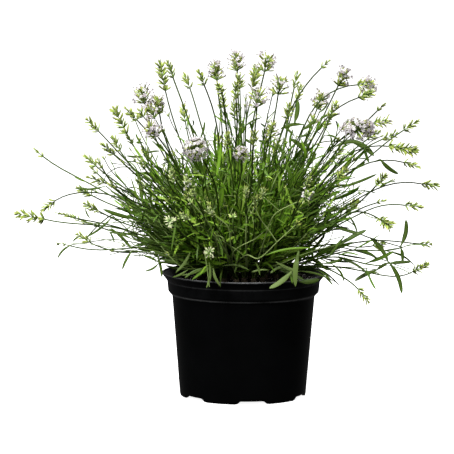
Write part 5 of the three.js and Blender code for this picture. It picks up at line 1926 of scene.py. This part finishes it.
def pot_material():
    """The pot's plastic, painted pale along its edges as highlights, and of uneven sheen."""
    n, color = surface(**SURFACES["pot"])
    # Mixes in the painted highlights marked along the pot's edges
    highlight = n.math("MULTIPLY", n.source("line"), n.scaled(HIGHLIGHT_NOISE, HIGHLIGHT_GAIN, HIGHLIGHT_LOSS))
    n.color(n.mix(highlight, color, HIGHLIGHT_COLOR))
    n.feed(n.shader.inputs["Roughness"], n.scaled(SHEEN_NOISE, SHEEN_GAIN, SHEEN_LEAST))
    return n.material


def grained_material(name, color, roughness, grain):
    n = Nodes(name)
    darker = tuple(GRAIN_SHADE * channel for channel in color)
    n.color(n.mix(n.source((grain,)), color, darker))
    n.set(Roughness=roughness)
    n.bump((3 * grain,), *GRAIN_BUMP)
    return n.material


# Pieces

def add_object(name, data):
    made = bpy.data.objects.new(name, data)
    bpy.context.scene.collection.objects.link(made)
    return made


def piece(mesh, material, slot, *nodes):
    """An object on the part's one body, in the place of the named solids."""
    made = add_object(mesh.name, mesh)
    made.data.materials.append(material)
    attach(made, "root")
    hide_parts(*nodes)
    return made


def make_pot():
    plastic = pot_material()
    pot = piece(pot_mesh(), plastic, "pot_plastic", "pot")
    cut_drains(pot)
    if not pot.data.materials:
        pot.data.materials.append(plastic)
    mark_painted_highlights(pot.data)


def make_soil():
    earth = material_of("soil")
    draw = Draw(SOIL_SEED)
    piece(soil_mesh(), earth, "soil", "soil")
    piece(lumps("soil_crumbs", draw, *CRUMBS), earth, "soil", "soil")
    piece(fibres("soil_fibres", draw), grained_material(*FIBRE_SURFACE), "soil", "soil")
    piece(lumps("soil_perlite", draw, *SPECKS), grained_material(*SPECK_SURFACE), "soil", "soil")


def make_plant():
    for name, kind in KINDS.items():
        kind["name"] = name
    limbs = Limbs()
    roots = find_roots()
    plans = [plan_spray(stems, roots[i], i, limbs) for i, stems in enumerate(SPRAYS)]
    for i, plan in enumerate(plans):
        grow_leaves(plan, i, limbs)
    builds = [{part: Build() for part in SLOTS} for _ in plans]
    for i, (plan, parts) in enumerate(zip(plans, builds)):
        for j, branch in enumerate(plan["branches"]):
            branch.place = (i, j)
            if branch.kind:
                branch.look = OTHER_LOOKS.get(branch.place, branch.kind["name"])
            dress_branch(parts, branch, plan["draw"])
    draw = Draw(FILL_SEED)
    for count, dress in ((FILL_SHOOTS, dress_fill_shoot), (TWIGS, dress_twig)):
        for way in spread_ways(count, LOWEST_WAY):
            if way[2] < LOW_FILL and draw(0, 1) < LOW_FILL_GAPS[int(way[0] > 0)]:
                continue
            spray = nearest_root(roots, way)
            dress(builds[spray], roots[spray], way, draw)
    for dress in (dress_placed, dress_spikes, dress_strays):
        dress(builds, roots, draw)
    materials = {part: material_of(part) for part in SLOTS}
    for i, parts in enumerate(builds):
        for part, build in parts.items():
            if build.count:
                node = spray_name(i)
                piece(build.mesh(f"{node}_{part}"), materials[part], SLOTS[part], node)
    make_woody_stems(roots)


def spray_name(i):
    return f"spray_{i + 1:02d}"


def make_woody_stems(roots):
    build = Build()
    draw = Draw(TRUNK_SEED)
    heights, shares = TRUNK_PROFILE.T
    for root in roots:
        shape = ring_shape(TRUNK_RADIUS * shares, TRUNK_SIDES, draw(0, 1), TRUNK_RIBS)
        sweep(build, root + np.outer(heights, UP), ACROSS, shape)
    nodes = [spray_name(i) for i in range(len(roots))]
    piece(build.mesh("woody_stems"), material_of("bark"), "foliage", *nodes)


# The studio

def make_stage():
    """A white floor that throws no light on the plant."""
    bpy.ops.mesh.primitive_plane_add(size=FLOOR_SIZE, location=(0, 0, 0))
    floor = bpy.context.object
    floor.name = "studio_floor"
    n = Nodes("studio_floor")
    n.set(**FLOOR_VALUES)
    floor.data.materials.append(n.material)
    floor.visible_diffuse = False
    floor.visible_glossy = False


def make_sky():
    """A soft box all round: bright above, dimmer at the sides, dark below."""
    world = bpy.data.worlds.new("studio")
    world.use_nodes = True
    tree = world.node_tree
    background = tree.nodes["Background"]
    place = tree.nodes.new("ShaderNodeTexCoord")
    parts = tree.nodes.new("ShaderNodeSeparateXYZ")
    rise = tree.nodes.new("ShaderNodeMapRange")
    for name, value in SKY_RANGE.items():
        rise.inputs[name].default_value = value
    tree.links.new(place.outputs["Generated"], parts.inputs["Vector"])
    tree.links.new(parts.outputs["Z"], rise.inputs["Value"])
    tree.links.new(rise.outputs["Result"], background.inputs["Strength"])
    background.inputs["Color"].default_value = (1, 1, 1, 1)
    bpy.context.scene.world = world


def area_light(name, place, size, power):
    lamp = bpy.data.lights.new(name, "AREA")
    lamp.size = size
    lamp.energy = power
    made = add_object(name, lamp)
    made.location = place
    way = Vector(LIGHT_TARGET) - Vector(place)
    made.rotation_euler = way.to_track_quat("-Z", "Y").to_euler()


def make_camera():
    camera = add_object("camera", bpy.data.cameras.new("camera"))
    camera.data.lens = CAMERA_LENS
    camera.data.sensor_width = CAMERA_SENSOR
    camera.data.clip_end = CAMERA_END
    pitch = Matrix.Rotation(math.radians(90 - CAMERA_PITCH), 4, "X")
    roll = Matrix.Rotation(math.radians(CAMERA_ROLL), 4, "Z")
    camera.matrix_world = Matrix.Translation(Vector(EYE) * MM) @ pitch @ roll
    bpy.context.scene.camera = camera


make_pot()
make_soil()
make_plant()
make_stage()
make_sky()
for light in LIGHTS:
    area_light(*light)
make_camera()
bpy.context.scene.view_settings.view_transform = "Standard"
